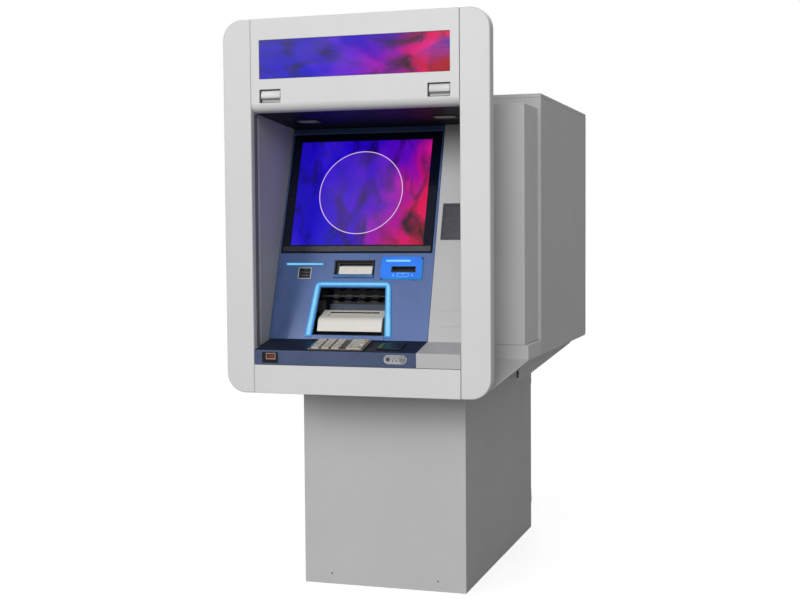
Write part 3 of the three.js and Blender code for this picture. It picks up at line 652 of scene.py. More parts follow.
def makeReceiptSlot():
    softCopy("receipt_bezel", "satinBlack", bevel=1.4, segments=3)
    paper = console["paper"]
    bm = bmesh.new()
    (x0, x1), (s0, s1), (n0, n1) = paper["x"], paper["s"], paper["n"]
    # the paper guide leans back towards the slot above it
    prism(bm, [(x0, s0, n0), (x0, s0, n1), (x0, s1 - 3, n1 - 2.6), (x0, s1, n1 - 4), (x0, s1, n0)],
          (x1 - x0, 0, 0), 0.5)
    for at in (0.2, 0.5, 0.8):
        x = x0 + at * (x1 - x0)
        block(bm, (x - 0.6, x + 0.6), (s0 + 3, s1 - 4), (n1 - 2.6, n1 - 0.5), 0.25, 1)
    addPiece("paper_guide", bm, "trayCream", within=consoleFrame)
    lip = console["lip"]
    foot = lip["s"][0]
    bm = bmesh.new()
    plate(bm, lip["x"], lip["s"], lip["n"], 3.4, 0.6)
    for at in (-60, -34):  # two darker inlays in the lit lip
        block(bm, (at - 9, at + 9), (foot + 3, foot + 5.2), (3.3, 3.9), 0.2, 1, 1)
    addPiece("receipt_lip", bm, ["softCyan", "deepBlue"], within=consoleFrame)
    print("receipt slot done")


cardSlot = {
    "mouth": {"x": (47, 115), "s": (184.6, 201), "n": (8.7, 9.7)},
    "gap": {"x": (50, 112), "s": (191, 199.5)},
    "crown": {"x": (31, 98), "s": (213.5, 218.5), "n": (8.4, 10.0)},
    "icon": {"x": 80, "s": 178},
}


def makeCardSlot():
    bm = shapeOf("card_bezel")
    inwards = consoleFrame.inverted()
    (g0, g1), (h0, h1) = cardSlot["gap"]["x"], cardSlot["gap"]["s"]
    for face in bm.faces:  # the rim round the blue face glows paler, a painted highlight along the bezel's edges; the slot's walls are black
        middle = inwards @ face.calc_center_median()
        inside = g0 - 0.1 < middle.x < g1 + 0.1 and h0 - 0.1 < middle.y < h1 + 0.1
        front = face.normal.dot(outward) > 0.9
        face.material_index = 0 if front else 2 if inside else 1
    addPiece("card_bezel_finished", bm, ["cardBlue", "cyanGlow", "glossBlack"],
             stands=("card_bezel",), bevel=2.6, segments=4)
    mouth, crown, icon = (cardSlot[part] for part in ("mouth", "crown", "icon"))
    bm = bmesh.new()
    border(bm, mouth["x"], mouth["s"], mouth["n"], (g0, g1), (h0, h1), 0.5)
    block(bm, (g0, g1), (h0, h1), (-4, -3))  # the shutter inside the slot
    addPiece("card_mouth", bm, "glossBlack", within=consoleFrame)
    bm = bmesh.new()
    plate(bm, crown["x"], crown["s"], crown["n"], 2.8, 0.8)
    x, s = icon["x"], icon["s"]
    rim(bm, (x - 16, x + 16), (s - 6, s + 4.5), (8.8, 9.4), 0.9, 0.2)
    rod(bm, 1.7, (x, s + 1, 8.8), (x, s + 1, 9.5), 16)
    for side in (-1, 1):
        prism(bm, [(x + side * 24, s - 4, 8.8), (x + side * 28, s - 4, 8.8), (x + side * 26, s + 3, 8.8)],
              (0, 0, 0.6), 0.2)
    addPiece("card_lights", bm, "cyanCore", within=consoleFrame)
    print("card slot done")


# ---- cash dispenser ----
cash = {
    "centre": -58, "core": 4.2,
    "sill": {"half": 100, "s": (0.6, 11.5), "n": (0.2, 3.0)},
    "roller": {"s": 131, "n": -37, "half": 100, "radius": 6.5, "shaft": 2.4, "at": (-56, -19, 19, 56),
               "wide": 15},
    "ribs": 4,
}


def makeDispenser():
    bm = shapeOf("dispenser_light")
    face = max((f for f in bm.faces if f.normal.dot(outward) > 0.9), key=lambda f: f.calc_area())
    bmesh.ops.inset_region(bm, faces=[face], thickness=cash["core"] * mm, use_even_offset=True)
    face.material_index = 1  # the middle of the lit band is paler
    addPiece("dispenser_glow", bm, ["cyanGlow", "cyanCore"], stands=("dispenser_light",),
             bevel=1.4, segments=3)
    softCopy("dispenser_throat", "glossBlack", bevel=0.5)
    bm = shapeOf("cash_tray")
    for face in bm.faces:  # painted shade: the tray's underside and feet, which lie in the dark, take the black finish
        if face.normal.dot(upSlope) < -0.3:
            face.material_index = 1
    addPiece("cash_tray_finished", bm, ["trayCream", "satinBlack"], stands=("cash_tray",),
             bevel=2.2, segments=4)
    centre, sill, roller = cash["centre"], cash["sill"], cash["roller"]
    bm = bmesh.new()
    plate(bm, (centre - sill["half"], centre + sill["half"]), sill["s"], sill["n"], 1.5, 0.8, segments=3)
    addPiece("dispenser_sill", bm, "consoleBlue", within=consoleFrame)

    bm = bmesh.new()
    s, n, half = roller["s"], roller["n"], roller["half"]
    rod(bm, roller["shaft"], (centre - half, s, n), (centre + half, s, n), 20, finish=1)
    for at in roller["at"]:
        left = centre + at - roller["wide"] / 2
        right = left + roller["wide"]
        rod(bm, roller["radius"], (left, s, n), (right, s, n), 28, soft=0.8)
        rod(bm, roller["radius"] * 0.7, (left - 2, s, n), (right + 2, s, n), 24, finish=1)
    addPiece("throat_rollers", bm, ["rubberBlack", "moduleBlack"], within=consoleFrame)

    low, high = span("dispenser_shutter", consoleFrame)
    bm = bmesh.new()
    block(bm, (low.x, high.x), (low.y, high.y), (low.z, high.z - 0.8), 0.4)
    pitch = (high.y - low.y) / cash["ribs"]
    for rib in range(cash["ribs"]):
        s = low.y + pitch * (rib + 0.5)
        block(bm, (low.x + 2, high.x - 2), (s - pitch * 0.36, s + pitch * 0.36),
              (high.z - 1.2, high.z), 0.35)
    addPiece("shutter_slats", bm, "shutterSlate", body="dispenser_shutter",
             stands=("dispenser_shutter",), within=consoleFrame)
    print("dispenser done")


# ---- grey side panel with its window and two service hatches ----
sideTrim = {
    "hatches": {"x": (174, 266), "s": ((41.5, 81.6), (83.4, 228.5)), "n": (-0.3, 0.9)},
    "lock": {"x": 252, "s": 62, "radius": 6},
}


def makeSidePanel():
    softCopy("side_panel", "linerGrey", bevel=1.2)
    low, high = span("side_window", consoleFrame)
    bm = bmesh.new()
    block(bm, (low.x, high.x), (low.y, high.y), (low.z, high.z), 0.4)
    rim(bm, (low.x + 5, high.x - 5), (low.y + 5, high.y - 5), (high.z - 0.2, high.z + 0.25), 0.8, 0, 1)
    addPiece("side_window_finished", bm, ["smokedGrey", "glossBlack"],
             stands=("side_window",), within=consoleFrame)
    hatch, lock = sideTrim["hatches"], sideTrim["lock"]
    x, s = lock["x"], lock["s"]
    for number, reach in enumerate(hatch["s"]):
        bm = bmesh.new()
        plate(bm, hatch["x"], reach, hatch["n"], 3.0, 0.45, segments=4)
        if number == 0:
            rod(bm, lock["radius"], (x, s, 0.5), (x, s, 1.7), 28, soft=0.4, finish=1)
            # the key slot is a raised black bar: painted shade for the slot
            block(bm, (x - 0.7, x + 0.7), (s - 3, s + 3), (1.6, 1.9), finish=2)
        addPiece(f"side_hatch_{number + 1}", bm, ["linerGrey", "plateSteel", "glossBlack"],
                 within=consoleFrame)
    print("side panel done")


# ---- shelf with its scanner, contactless reader and audio plate ----
shelf = {
    "scanner": {"x": (-255, -211.7), "z": (632.6, 660.4), "proud": (-0.1, 2.4)},
    "opening": {"x": (-245, -217), "z": (641, 658.3), "lamps": (-4.5, 0, 4.5)},
    "readerTop": 2.8,
    "led": {"x": (50.5, 59), "t": (34, 78), "count": 4},
    "target": {"x": (66, 109), "t": (30, 80)},
    "waves": {"x": 80, "t": 55, "count": 4, "first": 3.5, "pitch": 3.6},
    "jack": {"x": 88.7, "z": 648.15}, "headset": {"x": 106.5, "radius": 4.6},
    "button": {"x": 126, "z": 648.15, "radius": 8.2, "cross": 3.4},
}


def makeShelf():
    bm = shapeOf("shelf")
    for face in bm.faces:
        if face.normal.z > 0.5:
            face.material_index = 1
    addPiece("shelf_finished", bm, ["shelfBlue", "shelfDark"], stands=("shelf",),
             bevel=2.6, segments=4)

    scanner, hole = shelf["scanner"], shelf["opening"]
    (h0, h1), (v0, v1) = hole["x"], hole["z"]
    bm = bmesh.new()
    border(bm, scanner["x"], scanner["z"], scanner["proud"], (h0, h1), (v0, v1), 0.9)
    rim(bm, (h0 + 0.3, h1 - 0.3), (v0 + 0.3, v1 - 0.3), (-3.4, 1.4), 2.2, 0.5, 1)
    block(bm, (h0 + 1, h1 - 1), (v0 + 1, v1 - 1), (-6, -3.2), 0.4, 1)
    plate(bm, (h0 + 2.6, h1 - 2.6), (v0 + 2.6, v1 - 2.6), (-3.4, -1.6), 1.5, 0.5, finish=2)
    for at in hole["lamps"]:  # the aiming lamps behind the red glass
        x, z = (h0 + h1) / 2 + at, (v0 + v1) / 2
        rod(bm, 0.9, (x, z, -1.8), (x, z, -1.3), 14, finish=3)
    addPiece("code_scanner", bm, ["ceilingBlack", "warmSteel", "deepRed", "markRed"],
             within=frontFrame)
    print("shelf done")


def makeContactlessReader():
    softCopy("contactless_reader", "readerBlack", bevel=1.2, segments=3)
    led, target, waves, top = shelf["led"], shelf["target"], shelf["waves"], shelf["readerTop"]
    step = (led["t"][1] - led["t"][0]) / led["count"]
    bm = bmesh.new()
    for light in range(led["count"]):
        t = led["t"][0] + step * light
        plate(bm, led["x"], (t + 1, t + step - 1), (top - 0.1, top + 0.3), 1.0, segments=2, finish=1)
    rim(bm, target["x"], target["t"], (top - 0.1, top + 0.15), 0.9)
    for number in range(waves["count"]):
        radius = waves["first"] + number * waves["pitch"]
        arc(bm, (waves["x"], waves["t"]), radius, 1.1, (top - 0.1, top + 0.2), -38, 76, 12)
    addPiece("reader_marks", bm, ["dimMark", "greenGlow"], within=shelfFrame)
    print("contactless reader done")


def makeAudioPlate():
    softCopy("audio_plate", "plateSteel", bevel=0.6)
    jack, button, headset = shelf["jack"], shelf["button"], shelf["headset"]
    bm = bmesh.new()
    ring(bm, (jack["x"], jack["z"]), 1.8, 5.4, (2.1, 2.9), 36)
    rod(bm, 1.7, (jack["x"], jack["z"], -3), (jack["x"], jack["z"], 0.6), 20, finish=1)
    x, z, radius = headset["x"], jack["z"] - 1.5, headset["radius"]
    arc(bm, (x, z), radius, 0.8, (2.1, 2.45), 10, 160, 16, 1)
    for cup in (x - radius, x + radius):
        block(bm, (cup - 1.1, cup + 1.1), (z - 4, z + 0.4), (2.1, 2.5), 0.2, 1, 1)
    addPiece("audio_marks", bm, ["darkRing", "markInk"], within=frontFrame)
    bm = bmesh.new()
    x, z, radius = button["x"], button["z"], button["radius"]
    rod(bm, radius, (x, z, -5), (x, z, 3.6), 48, soft=0.7)
    ring(bm, (x, z), radius - 2.4, radius - 1.2, (3.4, 4.1), 40)
    for across, up in ((0.5, button["cross"]), (button["cross"], 0.5)):
        block(bm, (x - across, x + across), (z - up, z + up), (3.5, 4.0), 0.15, 1, 1)
    addPiece("volume_button_finished", bm, ["buttonSteel", "markInk"],
             body="volume_button", stands=("volume_button",), within=frontFrame)
    print("audio plate done")


# ---- PIN pad ----
keys = {
    "corner": 1.6, "soft": 0.8, "digit": 7.6, "raised": 0.22,
    "digits": {f"key_{digit}": digit for digit in "1234567890"},
    "signs": {"key_cancel": ("X", "markRed"), "key_clear": ("<", "markYellow"),
              "key_help": ("?", "markWhite"), "key_enter": ("O", "markGreen")},
}


def makePinPad():
    softCopy("pin_pad", "padSteel", bevel=1.0)
    low, high = span("pin_pad", padFrame)
    bm = bmesh.new()
    rim(bm, (low.x + 0.4, high.x - 0.4), (low.y + 0.4, high.y - 0.4), (high.z - 0.4, high.z + 0.5),
        3.6, 0.4)
    for x in (low.x + 2.2, high.x - 2.2):
        for t in (low.y + 2.2, high.y - 2.2):
            screw(bm, x, t, high.z + 0.4, 1.4)
    addPiece("pin_pad_rim", bm, ["rimSteel", "glossBlack"], within=padFrame)
    for name in [*keys["digits"], *keys["signs"], "key_blank_left", "key_blank_right"]:
        low, high = span(name, padFrame)
        bm = bmesh.new()
        plate(bm, (low.x, high.x), (low.y, high.y), (low.z, high.z), keys["corner"], keys["soft"],
              segments=3)
        x, t, top = (low.x + high.x) / 2, (low.y + high.y) / 2, high.z
        mark = "markInk"
        if name in keys["digits"]:
            legend(bm, keys["digits"][name], keys["digit"], x, t, top - 0.02, keys["raised"])
            if name == "key_5":  # the locating dot
                rod(bm, 0.7, (x + 6.2, t, top - 0.1), (x + 6.2, t, top + 0.35), 16, end=0.45, finish=1)
        elif name in keys["signs"]:
            sign, mark = keys["signs"][name]
            legend(bm, sign, keys["digit"], x - 8, t, top - 0.02, keys["raised"])
            plate(bm, (high.x - 10.5, high.x - 3), (low.y + 2.6, high.y - 2.6),
                  (top - 0.1, top + 0.2), 0.9, segments=2, finish=2)
        addPiece(name + "_cap", bm, ["keySteel", "markInk", mark], body=name,
                 stands=(name,), within=padFrame)
    print("PIN pad done")


# ---- wall collar, ledge and pan ----
def makeCollar():
    softCopy("wall_collar", "collarGrey", bevel=1.6, segments=3)
    softCopy("ledge", "collarGrey", bevel=1.4)
    softCopy("sloped_pan", "collarGrey", bevel=1.0)
    print("collar done")


# ---- upper cabinet, its lid and the rear door ----
cabinet = {
    "lidScrews": {"x": (-372, -125, 125, 372), "y": (425, 765, 1105)},
    "slot": {"x": (346.5, 351.5), "z": (573, 592), "n": (-327.1, -326.4)},
    "louvres": {"x": (-190, 150), "rows": ((690, 9), (1190, 5)), "pitch": 16, "deep": 3.4},
    "pressing": {"x": (-352, 352), "z": (668, 1294)},
    "doorScrews": {"x": (-366, 366), "z": (700, 980, 1262)},
    "latchRing": (8.8, 21), "lock": {"radius": 9.5, "drop": 92},
    "ribs": {"x": (-215, 0, 215), "z": (676, 1288), "half": 17, "y": (1117, 1126.2), "rivets": 114},
    "folder": {"x": (42, 188), "z": (730, 900), "y": (1110, 1126.2), "sheet": 1.6},
}


def makeCabinet():
    softCopy("cabinet_shell", "cabinetGrey", bevel=1.4)
    softCopy("cabinet_lid", "cabinetGrey", bevel=1.8, segments=3)
    softCopy("underside_skirt", "cabinetGrey", bevel=1.0)
    top = span("cabinet_lid")[1].z
    bm = bmesh.new()
    for x in cabinet["lidScrews"]["x"]:
        for y in cabinet["lidScrews"]["y"]:
            screw(bm, x, y, top - 0.5, 4.2)
    addPiece("lid_screws", bm, ["zincSteel", "glossBlack"], within=machineFrame)
    slot = cabinet["slot"]
    bm = bmesh.new()
    # the slots are thin black plates on the skirt's face: painted shade standing for the openings
    for side in (1, -1):
        plate(bm, mirrored(slot["x"], side), slot["z"], slot["n"], 2.0, segments=3)
    addPiece("skirt_slots", bm, "glossBlack", within=frontFrame)
    print("cabinet done")


def makeServiceDoor():
    softCopy("service_door", "cabinetGrey", "service_door", bevel=2.2, segments=3)
    face = span("service_door")[1].y
    louvres, pressing, screws = cabinet["louvres"], cabinet["pressing"], cabinet["doorScrews"]
    (x0, x1), deep = louvres["x"], louvres["deep"]
    bm = bmesh.new()
    for first, count in louvres["rows"]:
        for number in range(count):  # hooded slots; the black strip under each hood is painted shade standing for the opening
            z = first + number * louvres["pitch"]
            prism(bm, [(x0, z, face - 0.4), (x0, z, face + deep), (x0, z + 3.2, face + deep * 0.8),
                       (x0, z + 9, face - 0.4)], (x1 - x0, 0, 0), 0.5)
            block(bm, (x0 + 2, x1 - 2), (z - 1.6, z + 0.3), (face - 0.3, face + 0.25), finish=1)
    rim(bm, pressing["x"], pressing["z"], (face - 0.5, face + 1.3), 7, 0.9)
    for z in screws["z"]:
        for x in screws["x"]:
            screw(bm, x, z, face + 0.3, 3.6)
    low, high = span("service_latch")
    x, z = -(low.x + high.x) / 2, (low.z + high.z) / 2
    ring(bm, (x, z), *cabinet["latchRing"], (face - 0.3, face + 2.6), finish=2)
    z -= cabinet["lock"]["drop"]
    rod(bm, cabinet["lock"]["radius"], (x, z, face - 0.3), (x, z, face + 3.6), 36, soft=0.8, finish=2)
    # the key slot is a raised black bar: painted shade for the slot
    block(bm, (x - 1, x + 1), (z - 4.5, z + 4.5), (face + 3.4, face + 3.9), finish=1)
    addPiece("service_door_fittings", bm, ["cabinetGrey", "glossBlack", "zincSteel"],
             body="service_door", within=rearFrame)
    softCopy("service_latch", "brightSteel", "service_latch", bevel=3.0, segments=3)

    ribs, folder = cabinet["ribs"], cabinet["folder"]
    (y0, y1), (z0, z1), half = ribs["y"], ribs["z"], ribs["half"]
    bm = bmesh.new()
    for x in ribs["x"]:  # folded stiffeners on the inner face, each with two flanges
        prism(bm, [(x - half, y1, z0), (x - half * 0.6, y0, z0), (x + half * 0.6, y0, z0),
                   (x + half, y1, z0)], (0, 0, z1 - z0), 0.8)
        block(bm, (x - half - 9, x + half + 9), (y1 - 1.4, y1), (z0 - 6, z1 + 6), 0.4)
        for z in range(z0 + 20, z1, ribs["rivets"]):
            for at in (x - half - 4.5, x + half + 4.5):
                rod(bm, 2.6, (at, y1 - 1.0, z), (at, y1 - 2.6, z), 16, end=1.8, finish=1)
    (x0, x1), (y0, y1), z, sheet = folder["x"], folder["y"], folder["z"], folder["sheet"]
    block(bm, (x0, x1), (y0, y0 + sheet), z, 0.5, 2, 2)
    for at in (x0, x1 - sheet):
        block(bm, (at, at + sheet), (y0 + sheet, y1), z, 0.4, 1, 2)
    block(bm, (x0 + sheet, x1 - sheet), (y0 + sheet, y1), (z[0], z[0] + sheet), 0.4, 1, 2)
    addPiece("service_door_stiffeners", bm, ["cabinetGrey", "zincSteel", "moduleBlack"],
             body="service_door", within=machineFrame)
    print("service door done")


# ---- pedestal: front cover and the safe inside it ----
pedestal = {
    "coverScrews": {"x": (-152, 152), "z": 28.7},
    "doorFace": 1056,
    "dial": {"x": -70, "z": 310, "radius": 34, "marks": 50, "long": 4.6, "short": 2.6, "thick": 0.35},
    "keyhole": {"x": 120, "z": 400, "half": (16, 22)},
    "leverRing": {"x": 120, "z": 310, "inner": 9.6, "outer": 21},
    "pressing": {"left": 431, "right": 12, "foot": 572, "top": 14, "wide": 5},
    "cover": {"x": (-92, 165), "z": (120, 500), "y": (1021, 1031.2), "screwIn": 16},
    "guide": {"x": (-207, -197), "half": 14, "z": (150, 310, 470), "y": (1029.6, 1031.2)},
}


def makePedestal():
    softCopy("pedestal_cover", "pedestalGrey", bevel=1.8, segments=3)
    softCopy("safe_shell", "pedestalGrey", bevel=0.8)
    front = span("pedestal_cover")[0].y
    bm = bmesh.new()
    for x in pedestal["coverScrews"]["x"]:
        screw(bm, x, pedestal["coverScrews"]["z"], -front + 0.2, 2.6)
    addPiece("cover_screws", bm, ["darkRing", "glossBlack"], within=frontFrame)
    print("pedestal done")


def makeSafeDoor():
    softCopy("safe_door", "pedestalGrey", "safe_door", bevel=2.5, segments=3)
    low, high = span("safe_door")
    dial, hole, lever, pressing = (pedestal[part] for part in ("dial", "keyhole", "leverRing", "pressing"))
    face, radius = pedestal["doorFace"], dial["radius"]
    bm = bmesh.new()
    x, z = dial["x"], dial["z"]
    rod(bm, radius + 6, (x, z, face - 0.4), (x, z, face + 3), 64, soft=0.8, finish=2)
    rod(bm, radius, (x, z, face + 2.8), (x, z, face + 12), 64, end=radius * 0.93, soft=1.0, finish=1)
    rod(bm, radius * 0.45, (x, z, face + 11.6), (x, z, face + 24), 40, soft=1.6, finish=1)
    middle = Vector((x, z, face + 11.9))
    for step in range(dial["marks"]):  # graduations round the dial's edge
        turn = step * 2 * math.pi / dial["marks"]
        way = Vector((math.sin(turn), math.cos(turn), 0))
        side = Vector((way.y, -way.x, 0)) * dial["thick"]
        outer = middle + way * radius * 0.9
        inner = outer - way * (dial["short"] if step % 5 else dial["long"])
        prism(bm, [inner - side, inner + side, outer + side, outer - side], (0, 0, 0.3), 0, 3)
    x, z, (across, up) = hole["x"], hole["z"], hole["half"]
    plate(bm, (x - across, x + across), (z - up, z + up), (face - 0.4, face + 2.4), 8, 0.7, finish=2)
    # the keyhole is drawn as raised black shapes on the escutcheon: painted shade for the hole
    rod(bm, 4.2, (x, z + 5, face + 2.2), (x, z + 5, face + 2.7), 24, finish=1)
    block(bm, (x - 1.6, x + 1.6), (z - 9, z + 4), (face + 2.2, face + 2.65), finish=1)
    x = (-low.x - pressing["left"], -low.x - pressing["right"])
    z = (high.z - pressing["foot"], high.z - pressing["top"])
    rim(bm, x, z, (face - 0.4, face + 1.0), pressing["wide"], 0.7)
    ring(bm, (lever["x"], lever["z"]), lever["inner"], lever["outer"], (face - 0.3, face + 0.35), finish=2)
    addPiece("safe_door_fittings", bm, ["pedestalGrey", "satinBlack", "zincSteel", "markWhite"],
             body="safe_door", within=rearFrame)
    softCopy("safe_handle", "brightSteel", "safe_handle", bevel=3.0, segments=3)

    cover, guide = pedestal["cover"], pedestal["guide"]
    (x0, x1), (z0, z1), y, inset = cover["x"], cover["z"], cover["y"][0], cover["screwIn"]
    bm = bmesh.new()
    block(bm, cover["x"], cover["y"], cover["z"], 2.0, 3)
    for x in (x0 + inset, (x0 + x1) / 2, x1 - inset):
        for z in (z0 + inset, (z0 + z1) / 2, z1 - inset):
            rod(bm, 5, (x, y + 0.4, z), (x, y - 2.4, z), 24, end=3.8, finish=1)
            # the hexagon on each bolt head is black: painted shade for its socket
            rod(bm, 1.8, (x, y - 2.2, z), (x, y - 2.7, z), 6, finish=2)
    for z in guide["z"]:
        block(bm, guide["x"], guide["y"], (z - guide["half"], z + guide["half"]), 0.6, 2, 1)
    addPiece("safe_boltwork_cover", bm, ["moduleBlack", "zincSteel", "glossBlack"],
             body="safe_door", within=machineFrame)
    softCopy("safe_bolts", "zincSteel", "safe_bolts", bevel=1.2)
    print("safe door done")


# ---- note cassettes ----
cassetteTrim = {
    "count": 4,
    "handle": {"half": 62, "out": 17, "thick": 9}, "catch": 104, "window": (-36, 36),
    "ribs": {"x": (-140, 140), "first": 8, "pitch": 4.2, "wide": 2, "count": 6},
}


def makeCassettes():
    handle, ribs = cassetteTrim["handle"], cassetteTrim["ribs"]
    half, out = handle["half"], handle["out"]
    for number in range(1, cassetteTrim["count"] + 1):
        name = f"note_cassette_{number}"
        low, high = span(name)
        softCopy(name, "cassetteGrey", bevel=2.5, segments=3)
        face, z = high.y, (low.z + high.z) / 2
        bar = (z - handle["thick"] / 2, z + handle["thick"] / 2)
        bm = bmesh.new()
        block(bm, (-half, half), bar, (face + out - 7, face + out), 2.2, 3, 1)
        for side in (-1, 1):
            x = side * (half - 5)
            block(bm, (x - 5, x + 5), bar, (face - 0.5, face + out - 3), 2, 2, 1)
            x = side * cassetteTrim["catch"]
            plate(bm, (x - 13, x + 13), (z - 9, z + 9), (face - 0.5, face + 3), 3, 0.8, finish=2)
        plate(bm, cassetteTrim["window"], (high.z - 26, high.z - 12), (face - 0.5, face + 1.2), 2, 0.4,
              finish=3)
        for rib in range(ribs["count"]):
            z = low.z + ribs["first"] + rib * ribs["pitch"]
            block(bm, ribs["x"], (z, z + ribs["wide"]), (face - 0.5, face + 0.9), 0.4, 1)
        addPiece(f"cassette_front_{number}", bm,
                 ["cassetteGrey", "satinBlack", "cassetteCatch", "smokedGrey"],
                 within=rearFrame)
    print("cassettes done")


# ---- modules behind the console and in the cabinet ----
modules = {
    "fan": {"radius": 36, "rings": 5, "thick": 0.8, "spoke": 1.2, "hub": 6},
    "ports": {"first": 82, "pitch": 18, "count": 6, "wide": 4},
    "bed": {"z": 700, "y": 980, "half": 150, "tall": 150},
    "rollers": {"lines": 3, "first": 22, "pitch": 44, "at": (-96, -32, 32, 96)},
    "cover": {"y": (450, 960), "rail": (148, 160), "ribs": 11, "first": 470, "pitch": 47},
}


# a round wire guard with four spokes over a black disc, painted shade standing for the opening
def fanGuard(bm, x, y, z):
    fan = modules["fan"]
    radius, thick, hub = fan["radius"], fan["thick"], fan["hub"]
    rod(bm, radius + 3, (x, y, z - 0.4), (x, y, z + 0.5), 48, finish=1)
    for number in range(fan["rings"]):
        middle = radius * (number + 0.8) / fan["rings"]
        ring(bm, (x, y), middle - thick, middle + thick, (z + 0.6, z + 2.4))
    foot = Vector((x, y, z + 0.3))
    for spoke in range(4):
        turn = spoke * math.pi / 2 + 0.8
        way = Vector((math.cos(turn), math.sin(turn), 0))
        side = Vector((-way.y, way.x, 0)) * fan["spoke"]
        near, far = foot + way * (hub - 1), foot + way * (radius + 2)
        prism(bm, [near - side, near + side, far + side, far - side], (0, 0, 1.6))
    rod(bm, hub, (x, y, z + 0.2), (x, y, z + 2.6), 24, soft=0.5)


def makeModules():
    for node, look, soft, segments in (
            ("display_module", "zincSteel", 1.5, 2), ("receipt_printer", "moduleBlack", 1.5, 2),
            ("card_reader", "moduleBlack", 1.5, 2), ("recycler_head", "moduleBlack", 2.5, 3),
            ("computer", "moduleBlack", 2.0, 3), ("power_supply", "zincSteel", 1.5, 2)):
        softCopy(node, look, bevel=soft, segments=segments)

    low, high = span("computer")
    x, face, ports = -(low.x + high.x) / 2, high.y, modules["ports"]
    bm = bmesh.new()
    fanGuard(bm, x, high.z - 62, face)
    for number in range(ports["count"]):
        z = low.z + ports["first"] + number * ports["pitch"]
        plate(bm, (x - 34, x - 16), (z - 5, z + 5), (face - 0.4, face + 1.6), 1.2, 0.3)
        # the black rectangle in each port is painted shade standing for its opening
        block(bm, (x - 31, x - 19), (z - 2.6, z + 2.6), (face + 1.4, face + 1.9), finish=1)
        if number < ports["wide"]:  # the wider sockets have a screw at each end
            plate(bm, (x + 6, x + 40), (z - 6, z + 6), (face - 0.4, face + 2.6), 3.5, 0.5)
            for at in (x + 9.5, x + 36.5):
                rod(bm, 1.8, (at, z, face + 2.4), (at, z, face + 4.4), 12)
    rod(bm, 6.5, (x + 44, high.z - 20, face - 0.4), (x + 44, high.z - 20, face + 2.2), 28, soft=0.6,
        finish=2)
    addPiece("computer_rear", bm, ["zincSteel", "glossBlack", "greenGlow"],
             within=rearFrame)

    low, high = span("power_supply")
    x, face = -(low.x + high.x) / 2, high.y
    bm = bmesh.new()
    fanGuard(bm, x, high.z - 60, face)
    plate(bm, (x - 30, x + 4), (low.z + 18, low.z + 44), (face - 0.4, face + 3), 3, 0.5, finish=1)
    plate(bm, (x + 16, x + 34), (low.z + 16, low.z + 46), (face - 0.4, face + 4), 2, 0.8, finish=2)
    addPiece("power_supply_rear", bm, ["zincSteel", "satinBlack", "handleRed"],
             within=rearFrame)

    bed, rollers, cover = modules["bed"], modules["rollers"], modules["cover"]
    y, z, half, tall = bed["y"], bed["z"], bed["half"], bed["tall"]
    bm = bmesh.new()
    block(bm, (-half, half), (z, z + tall), (y - 0.5, y + 3), 1.5)
    for level in range(rollers["lines"]):
        line = z + rollers["first"] + level * rollers["pitch"]
        rod(bm, 6, (-half + 22, line, y + 8), (half - 22, line, y + 8), 20, finish=2)
        for at in rollers["at"]:
            rod(bm, 9, (at - 13, line, y + 8), (at + 13, line, y + 8), 24, soft=1, finish=1)
    for x in (8 - half, half - 8):
        plate(bm, (x - 6, x + 6), (z + 6, z + tall - 6), (y + 2, y + 14), 2, 1)
    rod(bm, 11, (0, z + tall - 14, y + 2), (0, z + tall - 14, y + 22), 32, soft=2, finish=3)
    addPiece("transport_rollers", bm, ["zincSteel", "rubberBlack", "brightSteel", "catchGreen"],
             within=rearFrame)
    top = span("recycler_head")[1].z
    bm = bmesh.new()
    for rib in range(cover["ribs"]):
        y = cover["first"] + rib * cover["pitch"]
        block(bm, (-half, half), (y, y + 12), (top - 0.5, top + 2.5), 1)
    for side in (-1, 1):
        block(bm, mirrored(cover["rail"], side), cover["y"], (top - 0.5, top + 6), 1.5, 2, 1)
    addPiece("transport_cover", bm, ["satinBlack", "zincSteel"], within=machineFrame)
    print("modules done")


for make in (makeSurround, makeAlcove, makeConsole, makeReceiptSlot, makeCardSlot, makeDispenser,
             makeSidePanel, makeShelf, makeContactlessReader, makeAudioPlate, makePinPad, makeCollar,
             makeCabinet, makeServiceDoor, makePedestal, makeSafeDoor, makeCassettes, makeModules):
    make()


# ---- light, floor and camera ----
studio = {
    "air": 0.36, "backdrop": 1.0, "floorSize": 30,
    "left": {"from": (-0.62, -1.0, 0.40), "power": 0.85, "soft": 26},
    "front": {"from": (0.12, -1.0, 0.34), "power": 0.96, "soft": 30},
    "right": {"from": (1.0, -0.9, 0.2), "power": 0.16, "soft": 40},
    "rear": {"from": (-0.12, 1.0, 0.5), "power": 0.55, "soft": 40},
    "near": {"place": (0.2, -3.4, 2.5), "size": 1.6, "power": 24, "aim": (0, 0, 0.9)},
    "floor": {"bounce": "#a4a4a4", "second": "#a0a0a0", "lift": 0.78},
    "camera": {"place": (1.1203, -3.7203, 0.9763), "turn": 17.608, "down": 3.080, "roll": -0.4142,
               "lens": 59.39},
}


def hang(name, lamp):
    light = bpy.data.objects.new(name, lamp)
    bpy.context.scene.collection.objects.link(light)
    light.visible_camera = False
    return light


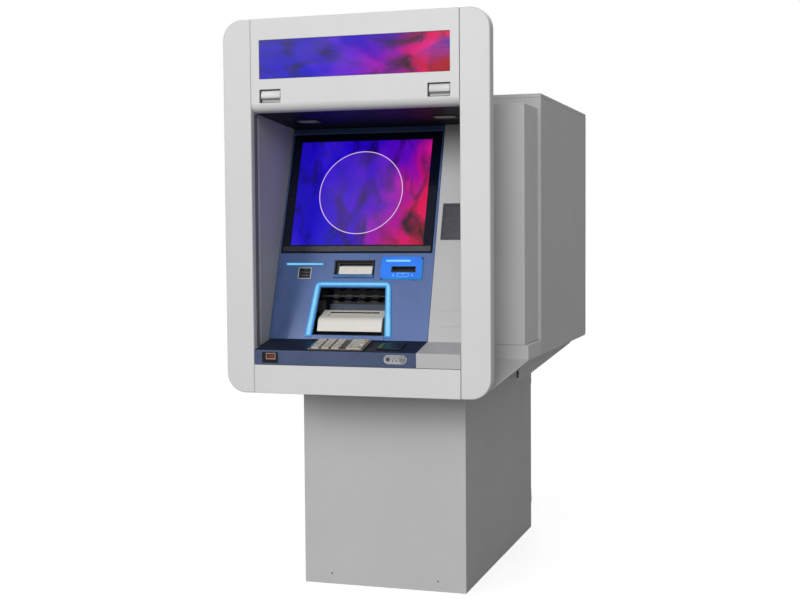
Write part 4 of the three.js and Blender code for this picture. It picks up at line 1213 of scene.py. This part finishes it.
def makeStudio():
    world = bpy.data.worlds.new("studio")
    bpy.context.scene.world = world
    world.use_nodes = True
    tree = world.node_tree
    tree.nodes.clear()
    seen = wire(tree, "LightPath").outputs["Is Camera Ray"]
    power = remap(tree, seen, studio["air"], studio["backdrop"], 0, 1)
    air = wire(tree, "Background", {"Color": (1, 1, 1, 1), "Strength": power})
    wire(tree, "OutputWorld", {"Surface": air.outputs[0]})
    for name in ("left", "front", "right", "rear"):
        look = studio[name]
        lamp = bpy.data.lights.new(name, "SUN")
        lamp.energy = look["power"]
        lamp.angle = math.radians(look["soft"])
        hang(name, lamp).rotation_euler = Vector(look["from"]).to_track_quat("Z", "Y").to_euler()
    near = studio["near"]
    lamp = bpy.data.lights.new("near", "AREA")
    lamp.size = near["size"]
    lamp.energy = near["power"]
    light = hang("near", lamp)
    light.location = near["place"]
    away = Vector(near["place"]) - Vector(near["aim"])
    light.rotation_euler = away.to_track_quat("Z", "Y").to_euler()
    bm = bmesh.new()
    bmesh.ops.create_grid(bm, x_segments=1, y_segments=1, size=studio["floorSize"])
    mesh = bpy.data.meshes.new("floor")
    bm.to_mesh(mesh)
    bm.free()
    floor = bpy.data.objects.new("floor", mesh)
    bpy.context.scene.collection.objects.link(floor)
    mesh.materials.append(paleFloor())
    bpy.context.scene.view_settings.view_transform = "Standard"


# a soft grey floor that the camera sees as nearly white
def paleFloor():
    look = studio["floor"]
    material, tree = newFinish("paleFloor")
    grain = noise(tree, objectPlace(tree), 60, 4.0)
    base = blendTone(tree, remap(tree, grain, 0, 1), tone(look["bounce"]), tone(look["second"]))
    seen = wire(tree, "LightPath").outputs["Is Camera Ray"]
    shader = wire(tree, "BsdfPrincipled", {
        "Base Color": base, "Roughness": 0.7, "Specular IOR Level": 0.1,
        "Emission Color": (1, 1, 1, 1), "Emission Strength": maths(tree, "MULTIPLY", seen, look["lift"]),
    })
    closeFinish(tree, shader)
    return material


def makeCamera():
    look = studio["camera"]
    camera = bpy.data.cameras.new("camera")
    camera.lens = look["lens"]
    camera.sensor_width = 36
    eye = bpy.data.objects.new("camera", camera)
    bpy.context.scene.collection.objects.link(eye)
    turn = Matrix.Rotation(math.radians(look["turn"]), 4, "Z")
    lean = Matrix.Rotation(math.radians(90 - look["down"]), 4, "X")
    roll = Matrix.Rotation(math.radians(look["roll"]), 4, "Z")
    eye.matrix_world = Matrix.Translation(look["place"]) @ turn @ lean @ roll
    bpy.context.scene.camera = eye


makeStudio()
makeCamera()
print("studio ready")
